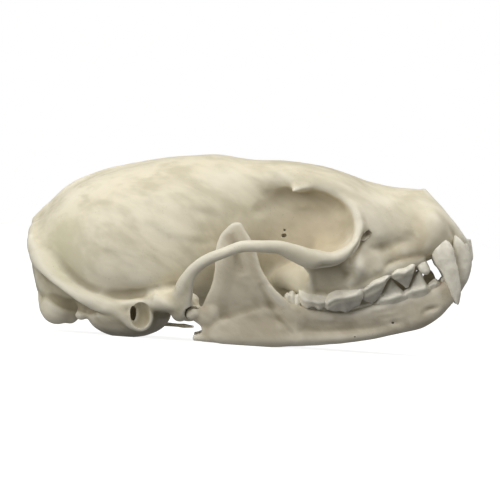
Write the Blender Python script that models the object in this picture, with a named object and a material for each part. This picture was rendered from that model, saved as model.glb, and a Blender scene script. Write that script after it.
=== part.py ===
"""Marten skull with its jaws closed, life size.

Every size is in millimetres in the skull's own frame: X runs forward from the back of the nuchal crest,
Y out to the animal's left from the midline, Z up from the lower border of the jaws. The forms are made on
the left and mirrored. At the end the whole skull is tipped back until the ear capsules and the jaws lie on
one level.
"""

import math

import bmesh
import bpy
import numpy as np
from mathutils import Matrix, Vector

MM = 0.001
GAP = 0.3

# How the skull rests: nose up by this angle, with the box's bottom centre brought to the origin.
REST_TILT_DEG = 4.05
REST_SHIFT = (-40.17, 0.0, -3.25)

# Fineness of the fused bone, and the share of its faces that is kept.
GRAIN = 0.4
SMOOTHING = 4
CRANIUM_TRIANGLES = 6600
MANDIBLE_TRIANGLES = 1400

# Lofts along X: place, half width, top, height of the widest line, bottom.
BRAINCASE = (
    (1.6, 5.0, 21.6, 18.5, 14.6),
    (2.6, 8.6, 23.6, 18.0, 10.0),
    (4.4, 11.4, 25.8, 18.0, 8.4),
    (8.1, 14.2, 29.2, 17.6, 7.4),
    (13.7, 16.4, 31.9, 17.2, 7.0),
    (19.0, 17.0, 33.3, 17.2, 7.0),
    (25.0, 16.6, 34.6, 17.6, 7.4),
    (30.0, 15.2, 35.2, 18.6, 8.0),
    (35.0, 12.8, 35.5, 20.5, 9.0),
    (39.6, 10.2, 34.9, 23.0, 10.5),
    (43.3, 8.4, 34.4, 26.0, 12.5),
    (46.0, 7.6, 34.3, 27.0, 14.0),
)
BACK_OF_SKULL = (
    (1.2, 6.0, 22.4, 19.0, 15.6),
    (2.2, 9.6, 23.4, 16.4, 9.6),
    (4.4, 12.6, 23.0, 14.0, 7.8),
    (8.0, 14.9, 21.0, 10.9, 6.6),
    (11.6, 15.9, 18.6, 8.8, 6.0),
    (15.0, 16.0, 16.0, 8.4, 6.0),
    (19.0, 15.2, 14.0, 8.8, 6.8),
    (24.0, 13.6, 12.0, 9.2, 7.6),
)
SKULL_BASE = (
    (4.6, 4.4, 11.0, 8.5, 6.6),
    (8.0, 6.0, 12.0, 8.5, 5.7),
    (15.0, 7.2, 12.0, 8.5, 5.6),
    (25.0, 7.0, 12.0, 8.8, 6.0),
    (32.0, 5.8, 12.0, 9.5, 6.9),
    (40.0, 5.0, 13.5, 11.0, 8.6),
    (47.0, 5.2, 15.0, 13.0, 11.0),
)
FOREHEAD = (
    (39.0, 8.6, 34.8, 28.6, 24.0),
    (43.3, 8.4, 34.4, 29.2, 24.2),
    (47.0, 9.6, 34.4, 29.0, 24.6),
    (50.7, 10.4, 34.0, 28.9, 24.2),
    (54.4, 10.2, 33.4, 28.8, 23.0),
    (58.1, 10.6, 32.4, 27.4, 21.0),
    (62.0, 10.0, 31.0, 24.0, 16.0),
)
ORBIT_WALL = (
    (40.0, 7.4, 28.0, 22.0, 11.0),
    (45.0, 6.2, 28.0, 20.0, 11.5),
    (50.0, 5.6, 28.0, 19.5, 12.5),
    (55.0, 6.0, 28.0, 19.5, 13.0),
    (60.0, 8.0, 28.0, 20.0, 13.0),
)
UPPER_JAW = (
    (46.0, 8.6, 14.8, 12.0, 10.6),
    (48.4, 12.2, 16.0, 12.2, 10.3),
    (51.0, 14.0, 17.6, 12.6, 8.7),
    (55.0, 14.2, 19.0, 13.4, 8.4),
    (59.0, 13.7, 21.0, 14.4, 9.2),
    (62.0, 12.7, 24.0, 15.4, 10.6),
    (66.0, 10.6, 26.0, 16.4, 12.4),
)
MUZZLE = (
    (54.0, 8.6, 32.6, 22.0, 14.0),
    (57.5, 10.9, 32.2, 21.6, 12.5),
    (60.5, 12.1, 31.3, 20.5, 11.6),
    (63.6, 11.3, 30.4, 18.6, 11.6),
    (67.0, 9.7, 29.6, 17.8, 13.0),
    (70.0, 8.9, 29.3, 18.2, 14.4),
    (73.0, 8.6, 29.0, 19.2, 15.9),
    (75.5, 8.5, 27.4, 19.8, 17.0),
    (77.6, 7.3, 24.8, 19.8, 17.7),
    (79.3, 4.9, 22.4, 19.4, 17.9),
    (81.2, 4.2, 19.9, 18.8, 17.8),
    (82.2, 3.0, 18.9, 18.4, 17.8),
)
# The space between the tooth rows under the palate.
MOUTH_ROOF = (
    (42.0, 7.0, 9.6, 4.0, -2.0),
    (47.0, 9.4, 11.4, 4.0, -2.0),
    (52.0, 10.8, 12.6, 4.0, -2.0),
    (58.0, 10.6, 13.4, 5.0, -2.0),
    (64.0, 8.4, 14.4, 6.0, -2.0),
    (70.0, 6.8, 16.0, 8.0, -2.0),
    (75.0, 5.8, 17.2, 10.0, -2.0),
    (79.0, 3.0, 17.9, 12.0, -2.0),
    (83.5, 1.5, 17.9, 12.0, -2.0),
)

# Ridges and bars along a path: x, y, z, half height, half thickness.
ZYGOMATIC_ARCH = (
    (26.4, 14.6, 9.6, 2.0, 1.8),
    (28.6, 18.6, 10.2, 2.0, 2.0),
    (29.5, 20.4, 11.8, 1.7, 1.8),
    (30.5, 21.4, 13.6, 1.35, 1.5),
    (33.2, 22.6, 15.9, 1.1, 1.3),
    (36.4, 22.9, 17.3, 1.05, 1.2),
    (41.0, 22.7, 18.6, 1.1, 1.15),
    (46.1, 21.5, 18.5, 1.2, 1.2),
    (49.2, 20.3, 17.5, 1.6, 1.3),
    (52.5, 18.8, 16.3, 1.9, 1.5),
    (55.8, 17.2, 16.1, 1.5, 1.5),
    (59.2, 15.4, 17.3, 1.3, 1.4),
    (61.2, 13.6, 19.8, 1.2, 1.3),
    (61.9, 12.0, 23.0, 1.2, 1.4),
)
CHEEK_ROOT = (
    (53.2, 17.6, 16.4, 1.7, 1.5),
    (53.0, 16.2, 13.8, 1.6, 1.6),
    (52.8, 14.2, 11.0, 1.8, 1.8),
)
NOSE_RIM = (
    (70.5, 3.4, 28.4, 0.8, 1.0),
    (73.6, 3.5, 27.9, 0.9, 1.0),
    (76.0, 4.2, 26.2, 0.9, 0.8),
    (78.2, 4.5, 23.2, 0.9, 0.8),
    (80.0, 4.2, 20.6, 0.9, 0.8),
    (81.6, 3.2, 18.9, 0.8, 0.8),
)
NUCHAL_CREST = (
    (2.4, 0.0, 22.0, 1.6, 0.9),
    (1.7, 3.6, 21.6, 1.8, 1.2),
    (1.3, 7.6, 19.8, 2.0, 1.3),
    (2.3, 11.0, 17.2, 2.2, 1.3),
    (4.8, 13.6, 14.0, 2.4, 1.3),
    (8.2, 15.5, 10.8, 2.4, 1.3),
    (11.7, 16.3, 8.6, 2.2, 1.3),
    (14.6, 16.8, 7.0, 1.8, 1.4),
)
SAGITTAL_CREST = (
    (1.4, 0.0, 22.6, 1.4, 0.7),
    (4.4, 0.0, 25.6, 1.3, 0.8),
    (10.0, 0.0, 30.1, 1.3, 0.8),
    (17.4, 0.0, 32.6, 1.1, 0.8),
    (25.0, 0.0, 34.0, 0.9, 0.7),
    (31.0, 0.0, 34.7, 0.8, 0.6),
)
BROW_POINT = (
    (51.4, 8.0, 29.2, 1.3, 3.0),
    (50.7, 10.0, 29.0, 1.1, 2.3),
    (50.0, 11.4, 28.8, 0.8, 1.3),
    (49.5, 12.3, 28.6, 0.45, 0.5),
)
SHELF_OVER_EAR = (
    (29.6, 18.6, 9.4, 1.1, 1.3),
    (25.6, 17.2, 9.0, 1.0, 1.1),
    (20.6, 16.4, 9.4, 1.0, 1.0),
    (16.8, 16.4, 8.4, 1.2, 1.2),
)
MASTOID = (
    (13.0, 14.6, 9.6, 2.0, 2.0),
    (15.6, 16.4, 7.2, 1.7, 1.4),
    (18.2, 16.0, 5.2, 1.3, 1.1),
)
PTERYGOID = (
    (47.0, 5.4, 11.6, 1.8, 0.8),
    (42.0, 5.0, 8.6, 1.8, 0.6),
    (37.0, 4.8, 6.6, 1.6, 0.6),
    (34.2, 4.8, 5.2, 1.2, 0.55),
    (32.4, 4.8, 4.2, 0.6, 0.5),
    (29.6, 5.0, 3.8, 0.45, 0.45),
    (26.8, 5.2, 3.8, 0.45, 0.45),
)

# Rounded lumps: centre, radii.
JAW_SOCKET = ((29.6, 17.2, 9.3), (3.6, 5.2, 2.2))
BEHIND_SOCKET = ((28.2, 17.2, 6.7), (1.8, 4.0, 2.3))
BEFORE_SOCKET = ((32.4, 20.2, 8.0), (1.0, 1.6, 1.5))
ROOM_FOR_NECK = ((33.6, 16.4, 6.6), (2.6, 2.7, 2.5))
OCCIPITAL_CONDYLE = ((5.9, 6.6, 7.2), (3.1, 3.0, 3.15))
CONDYLE_NECK = ((8.3, 5.6, 7.0), (2.0, 2.4, 2.9))
BESIDE_CONDYLE = ((10.4, 10.6, 6.6), (1.4, 1.3, 1.8))
CANINE_SWELLING = ((74.6, 6.9, 21.4), (3.0, 1.9, 3.6))
EAR_CAPSULE = ((19.2, 10.6, 5.8), (7.6, 5.0, 4.05))

# Holes: centre, radii.
EYE_SOCKET = ((54.3, 14.6, 23.0), (6.9, 8.6, 6.2))
NOSE_HOLE = ((76.5, 0.0, 23.8), (8.5, 3.9, 3.7))
NOSE_HOLE_SLOPE_DEG = 18.0
NECK_HOLE = ((3.0, 0.0, 8.6), (6.4, 4.3, 2.5))
NECK_HOLE_SLOPE_DEG = -12.0
CHEEK_CANAL = ((60.6, 13.3, 17.4), (4.2, 1.0, 1.7))
EAR_TUBE_FROM, EAR_TUBE_TO = (21.3, 11.0, 5.8), (21.5, 16.9, 5.8)
EAR_TUBE_OUTER, EAR_TUBE_INNER = (2.5, 3.0), (1.85, 2.45)
EAR_TUBE_FLOOR = 12.6

# The lower jaw along X: place, middle, half thickness, top, bottom.
JAW_BODY = (
    (32.6, 16.4, 1.0, 3.6, 1.3),
    (34.4, 16.2, 1.4, 5.2, 1.0),
    (39.0, 15.4, 1.7, 6.4, 0.3),
    (44.2, 14.0, 2.0, 8.0, 0.0),
    (48.6, 12.6, 2.3, 8.2, 0.2),
    (53.5, 11.0, 2.35, 6.9, 0.35),
    (58.5, 9.4, 2.35, 6.4, 0.7),
    (64.0, 7.0, 2.5, 7.8, 1.4),
    (67.0, 5.7, 2.7, 8.6, 2.0),
    (70.0, 4.3, 3.1, 9.6, 2.6),
    (73.0, 3.4, 3.4, 10.8, 3.3),
    (76.2, 3.1, 3.3, 12.2, 5.2),
    (78.6, 2.8, 2.9, 12.4, 7.6),
    (80.3, 2.0, 1.9, 11.8, 9.8),
)
# The upright plate of the lower jaw: height, x and y of the back edge, x and y of the front edge, half
# thickness.
JAW_PLATE = (
    (22.9, 38.3, 16.8, 39.9, 16.8, 0.4),
    (22.2, 37.4, 16.8, 40.2, 16.7, 0.6),
    (20.4, 35.9, 16.7, 41.2, 16.5, 0.75),
    (17.8, 35.1, 16.6, 42.2, 16.2, 0.8),
    (14.1, 34.9, 16.4, 43.4, 15.6, 0.85),
    (11.1, 34.2, 16.3, 45.2, 14.8, 0.9),
    (9.1, 33.3, 16.2, 47.4, 14.0, 1.1),
    (6.0, 32.4, 16.2, 50.0, 12.8, 1.3),
    (3.0, 32.6, 16.3, 50.0, 12.8, 1.4),
    (1.0, 34.0, 16.0, 48.0, 13.2, 1.0),
)
JAW_HINGE = ((30.9, 12.4, 5.8), (30.9, 20.0, 5.8))
JAW_HINGE_RADIUS = 1.5
JAW_NECK = (
    (35.0, 16.4, 6.6, 2.2, 1.2),
    (33.0, 16.4, 5.8, 1.7, 1.6),
    (31.2, 16.4, 5.6, 1.3, 2.4),
)
JAW_ANGLE = (
    (35.4, 16.0, 2.3, 1.1, 1.0),
    (33.0, 16.4, 1.9, 0.65, 0.8),
    (30.5, 16.6, 1.7, 0.5, 0.5),
)
PLATE_RIDGE = (
    (39.6, 17.3, 22.0, 0.7, 0.8),
    (41.8, 17.1, 18.4, 0.7, 0.8),
    (43.0, 16.5, 14.2, 0.8, 0.9),
    (45.0, 15.8, 10.6, 0.9, 1.0),
    (47.8, 14.7, 7.6, 1.0, 1.0),
    (49.6, 13.8, 5.0, 0.9, 0.9),
)
MUSCLE_HOLLOW = ((39.8, 20.9, 8.8), (7.6, 4.3, 6.6))

# Cusps of the teeth: x, y, z at the gum, x, y, z at the tip, half length, half width, roundness of the
# outline.
UPPER_CUSPS = (
    (81.0, 3.5, 18.6, 82.3, 3.7, 14.8, 0.85, 0.85, 2.4),
    (81.7, 2.0, 18.6, 82.8, 2.1, 15.2, 0.6, 0.65, 2.4),
    (81.9, 0.8, 18.6, 82.9, 0.85, 15.4, 0.5, 0.5, 2.4),
    (73.2, 7.2, 16.6, 74.0, 7.3, 14.0, 1.15, 0.9, 2.4),
    (69.7, 8.0, 14.6, 70.1, 8.1, 9.8, 2.5, 1.2, 1.5),
    (64.7, 9.6, 12.4, 63.9, 9.7, 7.8, 2.6, 1.3, 1.9),
    (60.0, 12.0, 11.0, 60.0, 12.1, 6.4, 2.3, 1.4, 2.8),
    (57.0, 12.6, 10.2, 56.9, 12.7, 6.5, 2.4, 1.3, 3.4),
    (61.2, 10.3, 11.6, 61.2, 10.2, 9.4, 1.1, 1.2, 2.2),
    (52.6, 13.0, 10.0, 52.6, 13.0, 7.0, 2.1, 1.5, 3.4),
    (51.4, 10.0, 12.4, 51.2, 10.0, 10.4, 1.9, 2.2, 3.4),
)
LOWER_CUSPS = (
    (78.6, 0.9, 11.6, 80.6, 0.85, 13.6, 0.5, 0.45, 2.4),
    (79.2, 2.0, 11.6, 80.6, 1.95, 13.7, 0.5, 0.5, 2.4),
    (76.2, 4.8, 11.6, 76.4, 4.8, 13.0, 0.6, 0.5, 2.2),
    (74.9, 5.2, 11.0, 75.0, 5.2, 12.8, 1.25, 0.8, 2.0),
    (72.3, 5.5, 9.8, 72.5, 5.6, 13.9, 2.3, 1.0, 1.5),
    (67.9, 6.5, 8.2, 67.6, 6.6, 12.6, 2.6, 1.0, 1.5),
    (61.4, 8.2, 7.0, 61.0, 8.1, 10.6, 1.9, 0.95, 2.0),
    (58.2, 9.0, 6.6, 57.9, 8.7, 10.9, 1.9, 1.05, 1.8),
    (54.4, 10.4, 6.6, 54.2, 10.4, 9.0, 2.1, 1.2, 2.6),
    (49.5, 12.0, 7.4, 49.5, 11.9, 9.9, 1.5, 1.3, 3.2),
)
# Canines: x, y, z, half length, half width.
UPPER_CANINE = (
    (75.4, 6.0, 21.0, 1.9, 1.5),
    (76.5, 6.7, 18.4, 2.15, 1.6),
    (77.9, 7.3, 15.4, 1.95, 1.4),
    (78.9, 7.5, 12.8, 1.5, 1.1),
    (79.5, 7.5, 10.2, 0.95, 0.75),
    (79.7, 7.4, 7.7, 0.25, 0.25),
)
LOWER_CANINE = (
    (78.0, 3.7, 8.4, 1.5, 1.2),
    (79.4, 4.2, 11.2, 1.5, 1.15),
    (80.6, 4.7, 13.8, 1.35, 1.0),
    (80.8, 5.0, 16.2, 1.2, 0.9),
    (80.2, 5.3, 18.4, 0.85, 0.65),
    (79.5, 5.5, 20.3, 0.22, 0.22),
)
ROOT_DEPTH = 1.5

# Thin cuts that part the cranium: a point on the cut, its normal, the slab's half width and half height.
FACE_CUT = ((53.7, 0.0, 22.0), (0.936, 0.0, -0.352), 30.0, 22.0)
ARCH_BACK_CUT = ((30.4, 21.2, 12.8), (0.35, 0.25, 0.9), 3.4, 3.4)

BONE = {"colour": (0.79, 0.74, 0.61, 1.0), "roughness": 0.55}
JAW_BONE = {"colour": (0.76, 0.71, 0.59, 1.0), "roughness": 0.55}
CAPSULE_BONE = {"colour": (0.74, 0.69, 0.57, 1.0), "roughness": 0.5}


def eased(table, places):
    """Rows of the table at these places, on a smooth curve through its rows that never overshoots them."""
    table = np.array(table, float)
    where, values = table[:, 0], table[:, 1:]
    steps = np.diff(where)[:, None]
    slopes = np.diff(values, axis=0) / steps
    before, after = slopes[:-1], slopes[1:]
    same_way = before * after > 0
    safe = np.where(same_way, before + after, 1.0)
    inner = np.where(same_way, 2 * before * after / safe, 0.0)
    tangents = np.vstack([slopes[:1], inner, slopes[-1:]])
    k = np.clip(np.searchsorted(where, places) - 1, 0, len(where) - 2)
    t = ((places - where[k])[:, None]) / steps[k]
    rise = values[k + 1] - values[k]
    start, end = tangents[k] * steps[k], tangents[k + 1] * steps[k]
    return values[k] + start * t + (3 * rise - 2 * start - end) * t**2 + (start + end - 2 * rise) * t**3


def along(table, count):
    """The table's rows read at equal steps of path length, on a smooth curve through them."""
    table = np.array(table, float)
    gone = np.concatenate([[0], np.cumsum(np.linalg.norm(np.diff(table[:, :3], axis=0), axis=1))])
    return eased(np.column_stack([gone, table]), np.linspace(0, gone[-1], count))


def made(name, shape):
    """An object in the scene from a bmesh in millimetres, its faces turned outwards."""
    bmesh.ops.recalc_face_normals(shape, faces=shape.faces)
    bmesh.ops.scale(shape, vec=(MM, MM, MM), verts=shape.verts)
    mesh = bpy.data.meshes.new(name)
    shape.to_mesh(mesh)
    shape.free()
    thing = bpy.data.objects.new(name, mesh)
    bpy.context.scene.collection.objects.link(thing)
    return thing


def skinned(name, rings):
    """A closed skin over rings of equal point counts, with a flat cap on each end."""
    shape = bmesh.new()
    loops = [[shape.verts.new(point) for point in ring] for ring in rings]
    for near, far in zip(loops, loops[1:]):
        for k in range(len(near)):
            shape.faces.new((near[k - 1], near[k], far[k], far[k - 1]))
    shape.faces.new(loops[0])
    shape.faces.new(loops[-1])
    return made(name, shape)


def loft(name, table, stations=28, sides=36, power=2.3):
    """Superellipse rings across X, each a half width wide at its widest line, from its bottom to its top."""
    table = np.array(table, float)
    places = np.linspace(table[0, 0], table[-1, 0], stations)
    width, top, widest, bottom = eased(table, places).T[:, :, None]
    angle = np.linspace(0, 2 * math.pi, sides, endpoint=False)[None, :]
    out = np.sign(np.cos(angle)) * np.abs(np.cos(angle)) ** (2 / power)
    up = np.sign(np.sin(angle)) * np.abs(np.sin(angle)) ** (2 / power)
    z = widest + np.where(up > 0, up * (top - widest), up * (widest - bottom))
    x = places[:, None] + 0 * z
    return skinned(name, np.stack([x, width * out, z], axis=-1))


def bar(name, table, stations=24, sides=12):
    """Ellipses along a path: their half height stands in its upright plane, their half thickness across."""
    rows = along(table, stations)
    path, high, thick = rows[:, :3], rows[:, 3:4], rows[:, 4:5]
    tangent = np.gradient(path, axis=0)
    tangent /= np.linalg.norm(tangent, axis=1)[:, None]
    across = np.cross(tangent, (0.0, 0.0, 1.0))
    weak = np.linalg.norm(across, axis=1) < 0.2
    across[weak] = np.cross(tangent[weak], (1.0, 0.0, 0.0))
    across /= np.linalg.norm(across, axis=1)[:, None]
    across *= np.sign(across @ across[len(across) // 2])[:, None]
    rise = np.cross(across, tangent)
    angle = np.linspace(0, 2 * math.pi, sides, endpoint=False)
    cos, sin = np.cos(angle)[None, :, None], np.sin(angle)[None, :, None]
    rings = path[:, None] + cos * (across * thick)[:, None] + sin * (rise * high)[:, None]
    return skinned(name, rings)


def lump(name, centre, radii, slope_deg=0.0, segments=28, rows=18):
    """An ellipsoid, tipped about Y by the slope."""
    shape = bmesh.new()
    bmesh.ops.create_uvsphere(shape, u_segments=segments, v_segments=rows, radius=1.0)
    place = Matrix.Translation(centre) @ Matrix.Rotation(math.radians(slope_deg), 4, "Y")
    shape.transform(place @ Matrix.Diagonal((*radii, 1.0)))
    return made(name, shape)


def drum(name, start, end, radii, sides=24):
    """A straight elliptical tube between two points, its radii along X and Z."""
    start, end = Vector(start), Vector(end)
    angle = np.linspace(0, 2 * math.pi, sides, endpoint=False)
    ring = np.stack([radii[0] * np.cos(angle), 0 * angle, radii[1] * np.sin(angle)], axis=-1)
    return skinned(name, [ring + start, ring + end])


def beam(name, table, stations=40, sides=20, power=2.4):
    """Superellipse rings across X round a middle line, from a bottom to a top."""
    table = np.array(table, float)
    places = np.linspace(table[0, 0], table[-1, 0], stations)
    middle, thick, top, bottom = eased(table, places).T[:, :, None]
    angle = np.linspace(0, 2 * math.pi, sides, endpoint=False)[None, :]
    out = np.sign(np.cos(angle)) * np.abs(np.cos(angle)) ** (2 / power)
    up = np.sign(np.sin(angle)) * np.abs(np.sin(angle)) ** (2 / power)
    z = (top + bottom) / 2 + up * (top - bottom) / 2
    return skinned(name, np.stack([places[:, None] + 0 * z, middle + thick * out, z], axis=-1))


def block(name, centre, size):
    """A box about a centre."""
    shape = bmesh.new()
    bmesh.ops.create_cube(shape, size=1.0)
    shape.transform(Matrix.Translation(centre) @ Matrix.Diagonal((*size, 1.0)))
    return made(name, shape)


def plate(name, table, stations=26, sides=28):
    """The jaw's upright plate: flat ellipses stacked in height from a back edge to a front edge."""
    table = np.array(table, float)[::-1]
    heights = np.linspace(table[0, 0], table[-1, 0], stations)
    back_x, back_y, front_x, front_y, thick = eased(table, heights).T[:, :, None]
    angle = np.linspace(0, 2 * math.pi, sides, endpoint=False)[None, :]
    share = (1 + np.cos(angle)) / 2
    x = back_x + (front_x - back_x) * share
    y = back_y + (front_y - back_y) * share + thick * np.sign(np.sin(angle)) * np.abs(np.sin(angle)) ** 0.6
    return skinned(name, np.stack([x, y, heights[:, None] + 0 * x], axis=-1))


def cusp(name, row, sides=8, rings=4):
    """A tooth cusp: ellipses from a root sunk in the bone to a blunt tip, narrowing by 1 - f ** roundness."""
    gum, tip = np.array(row[:3]), np.array(row[3:6])
    length, width, roundness = row[6:]
    axis = (tip - gum) / np.linalg.norm(tip - gum)
    share = np.linspace(0, 1, rings)[:, None]
    centres = np.vstack([gum - ROOT_DEPTH * axis, gum + (tip - gum) * share])
    scale = np.vstack([[0.75], np.maximum(1 - share**roundness, 0.12)])
    angle = np.linspace(0, 2 * math.pi, sides, endpoint=False)
    ring = np.stack([length * np.cos(angle), width * np.sin(angle), 0 * angle], axis=-1)
    return skinned(name, centres[:, None] + scale[:, :, None] * ring[None])


def canine(name, table, sides=10, rings=8):
    """A long curved tooth: ellipses across its path, long in the side view and narrow across."""
    rows = along(table, rings)
    path, length, width = rows[:, :3], rows[:, 3:4, None], rows[:, 4:5, None]
    tangent = np.gradient(path, axis=0)
    tangent /= np.linalg.norm(tangent, axis=1)[:, None]
    fore = np.cross((0.0, 1.0, 0.0), tangent)
    fore /= np.linalg.norm(fore, axis=1)[:, None]
    side = np.cross(tangent, fore)
    angle = np.linspace(0, 2 * math.pi, sides, endpoint=False)[None, :, None]
    ring = length * np.cos(angle) * fore[:, None] + width * np.sin(angle) * side[:, None]
    return skinned(name, path[:, None] + ring)


def mirrored(thing, name=None):
    """A copy of the object on the animal's right."""
    shape = bmesh.new()
    shape.from_mesh(thing.data)
    bmesh.ops.scale(shape, vec=(1 / MM, -1 / MM, 1 / MM), verts=shape.verts)
    return made(name or thing.name + "_right", shape)


def paired(things):
    """The objects and their mirror images."""
    return [*things, *(mirrored(thing) for thing in things)]


def settle(thing):
    """Applies the object's modifiers to its mesh."""
    graph = bpy.context.evaluated_depsgraph_get()
    mesh = bpy.data.meshes.new_from_object(thing.evaluated_get(graph))
    thing.modifiers.clear()
    thing.data = mesh
    return thing


def combined(thing, others, operation):
    """The object joined with the others, or cut by them, in one Boolean. The others are removed."""
    group = bpy.data.collections.new(thing.name + "_" + operation.lower())
    bpy.context.scene.collection.children.link(group)
    for other in others:
        bpy.context.scene.collection.objects.unlink(other)
        group.objects.link(other)
    step = thing.modifiers.new(operation.title(), "BOOLEAN")
    step.operand_type = "COLLECTION"
    step.collection = group
    step.operation = operation
    step.solver = "MANIFOLD"
    settle(thing)
    for other in others:
        bpy.data.objects.remove(other)
    bpy.data.collections.remove(group)
    return thing


def islands(shape):
    """The separate surfaces of a bmesh, as lists of faces, the largest first."""
    left, found = set(shape.faces), []
    while left:
        front = [left.pop()]
        island = list(front)
        while front:
            face = front.pop()
            for edge in face.edges:
                for other in edge.link_faces:
                    if other in left:
                        left.remove(other)
                        front.append(other)
                        island.append(other)
        found.append(island)
    return sorted(found, key=lambda faces: -sum(face.calc_area() for face in faces))


def largest_only(thing):
    """Drops all but the largest closed surface of the object."""
    shape = bmesh.new()
    shape.from_mesh(thing.data)
    loose = [face for island in islands(shape)[1:] for face in island]
    bmesh.ops.delete(shape, geom=loose, context="FACES")
    shape.to_mesh(thing.data)
    shape.free()
    return thing


def fused_bone(thing, triangles, symmetric):
    """Blends the joined forms into one rounded bone: an even remesh, a smoothing, then fewer faces."""
    remesh = thing.modifiers.new("Even", "REMESH")
    remesh.mode = "VOXEL"
    remesh.voxel_size = GRAIN * MM
    smooth = thing.modifiers.new("Soften", "SMOOTH")
    smooth.factor = 0.5
    smooth.iterations = SMOOTHING
    largest_only(settle(thing))
    if symmetric:
        halved_and_mirrored(thing)
    fewer = thing.modifiers.new("Fewer", "DECIMATE")
    fewer.ratio = triangles / (2 * len(thing.data.polygons))
    fewer.use_collapse_triangulate = True
    fewer.use_symmetry = symmetric
    fewer.symmetry_axis = "Y"
    return largest_only(settle(thing))


def slab(name, point, normal, half_width, half_height):
    """A thin block on a plane, used to part the bone."""
    shape = bmesh.new()
    bmesh.ops.create_cube(shape, size=2.0)
    turn = Vector(normal).to_track_quat("X", "Z").to_matrix().to_4x4()
    size = Matrix.Diagonal((GAP / 2, half_width, half_height, 1.0))
    shape.transform(Matrix.Translation(point) @ turn @ size)
    return made(name, shape)


def halved_and_mirrored(thing):
    """Keeps the object's left half and adds its mirror image, so that both sides match."""
    shape = bmesh.new()
    shape.from_mesh(thing.data)
    everything = [*shape.verts, *shape.edges, *shape.faces]
    plane = {"plane_co": (0, 0, 0), "plane_no": (0, -1, 0), "clear_outer": True}
    bmesh.ops.bisect_plane(shape, geom=everything, dist=1e-8, **plane)
    for vert in shape.verts:
        if vert.co.y < 2e-6:
            vert.co.y = 0.0
    bmesh.ops.mirror(shape, geom=[*shape.verts, *shape.edges, *shape.faces], axis="Y", merge_dist=1e-7)
    bmesh.ops.dissolve_degenerate(shape, dist=1e-8, edges=shape.edges)
    bmesh.ops.recalc_face_normals(shape, faces=shape.faces)
    shape.to_mesh(thing.data)
    shape.free()
    return thing


def ear_parts(extra):
    """The bulging capsule and its short tube, grown by the extra all round."""
    centre, radii = EAR_CAPSULE
    capsule = lump("capsule", centre, tuple(radius + extra for radius in radii), segments=20, rows=12)
    outer = tuple(radius + extra for radius in EAR_TUBE_OUTER)
    return capsule, drum("ear_tube", EAR_TUBE_FROM, EAR_TUBE_TO, outer)


def ear_bone(name):
    """The left ear capsule with its open tube."""
    capsule, tube = ear_parts(0.0)
    capsule.name = name
    start = (EAR_TUBE_TO[0], EAR_TUBE_FLOOR, EAR_TUBE_TO[2])
    end = (EAR_TUBE_TO[0], EAR_TUBE_TO[1] + 2, EAR_TUBE_TO[2])
    combined(capsule, [tube], "UNION")
    return combined(capsule, [drum("ear_hole", start, end, EAR_TUBE_INNER)], "DIFFERENCE")


def cranium():
    """The whole cranium as one closed bone, with its upper teeth."""
    sides = [
        bar("arch", ZYGOMATIC_ARCH, stations=40),
        bar("cheek_root", CHEEK_ROOT),
        bar("nose_rim", NOSE_RIM),
        bar("nuchal_crest", NUCHAL_CREST, stations=30),
        bar("shelf_over_ear", SHELF_OVER_EAR),
        bar("mastoid", MASTOID),
        bar("pterygoid", PTERYGOID),
        lump("jaw_socket", *JAW_SOCKET),
        lump("behind_socket", *BEHIND_SOCKET),
        lump("before_socket", *BEFORE_SOCKET),
        lump("condyle", *OCCIPITAL_CONDYLE),
        lump("condyle_neck", *CONDYLE_NECK),
        lump("beside_condyle", *BESIDE_CONDYLE),
        bar("brow_point", BROW_POINT, stations=10),
        lump("canine_swelling", *CANINE_SWELLING),
    ]
    middle = [
        loft("back_of_skull", BACK_OF_SKULL),
        loft("skull_base", SKULL_BASE, power=2.8),
        loft("forehead", FOREHEAD),
        loft("orbit_wall", ORBIT_WALL),
        loft("upper_jaw", UPPER_JAW, power=3.0),
        loft("muzzle", MUZZLE, power=2.2),
        bar("sagittal_crest", SAGITTAL_CREST),
    ]
    bone = combined(loft("cranium", BRAINCASE, power=2.2), [*middle, *paired(sides)], "UNION")
    holes = [lump("eye_socket", *EYE_SOCKET), lump("cheek_canal", *CHEEK_CANAL)]
    middle_holes = [
        loft("mouth_roof", MOUTH_ROOF, power=4.0),
        lump("nose_hole", *NOSE_HOLE, slope_deg=NOSE_HOLE_SLOPE_DEG),
        lump("neck_hole", *NECK_HOLE, slope_deg=NECK_HOLE_SLOPE_DEG),
    ]
    bone = combined(bone, [*middle_holes, *paired(holes)], "DIFFERENCE")
    fused_bone(bone, CRANIUM_TRIANGLES, symmetric=True)
    start, end = (Vector(point) for point in JAW_HINGE)
    reach = Vector((0, 1.2, 0))
    groove = drum("groove", start - reach, end + reach, (JAW_HINGE_RADIUS + GAP, JAW_HINGE_RADIUS + GAP))
    rooms = [groove, lump("neck_room", *ROOM_FOR_NECK, segments=14, rows=8), *ear_parts(GAP)]
    largest_only(combined(bone, paired(rooms), "DIFFERENCE"))
    teeth = [cusp("cusp", row) for row in UPPER_CUSPS]
    return combined(bone, paired([*teeth, canine("canine", UPPER_CANINE)]), "UNION")


def lower_jaw(name):
    """The left half of the lower jaw with its teeth."""
    forms = [
        plate("plate", JAW_PLATE),
        drum("hinge", *JAW_HINGE, (JAW_HINGE_RADIUS, JAW_HINGE_RADIUS)),
        bar("neck", JAW_NECK),
        bar("angle", JAW_ANGLE),
        bar("plate_ridge", PLATE_RIDGE),
    ]
    jaw = combined(beam(name, JAW_BODY), forms, "UNION")
    combined(jaw, [lump("hollow", *MUSCLE_HOLLOW)], "DIFFERENCE")
    fused_bone(jaw, MANDIBLE_TRIANGLES, symmetric=False)
    largest_only(combined(jaw, [block("other_side", (60, -10 + GAP / 2, 10), (80, 20, 40))], "DIFFERENCE"))
    teeth = [cusp("cusp", row) for row in LOWER_CUSPS]
    return combined(jaw, [*teeth, canine("canine", LOWER_CANINE)], "UNION")


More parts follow.
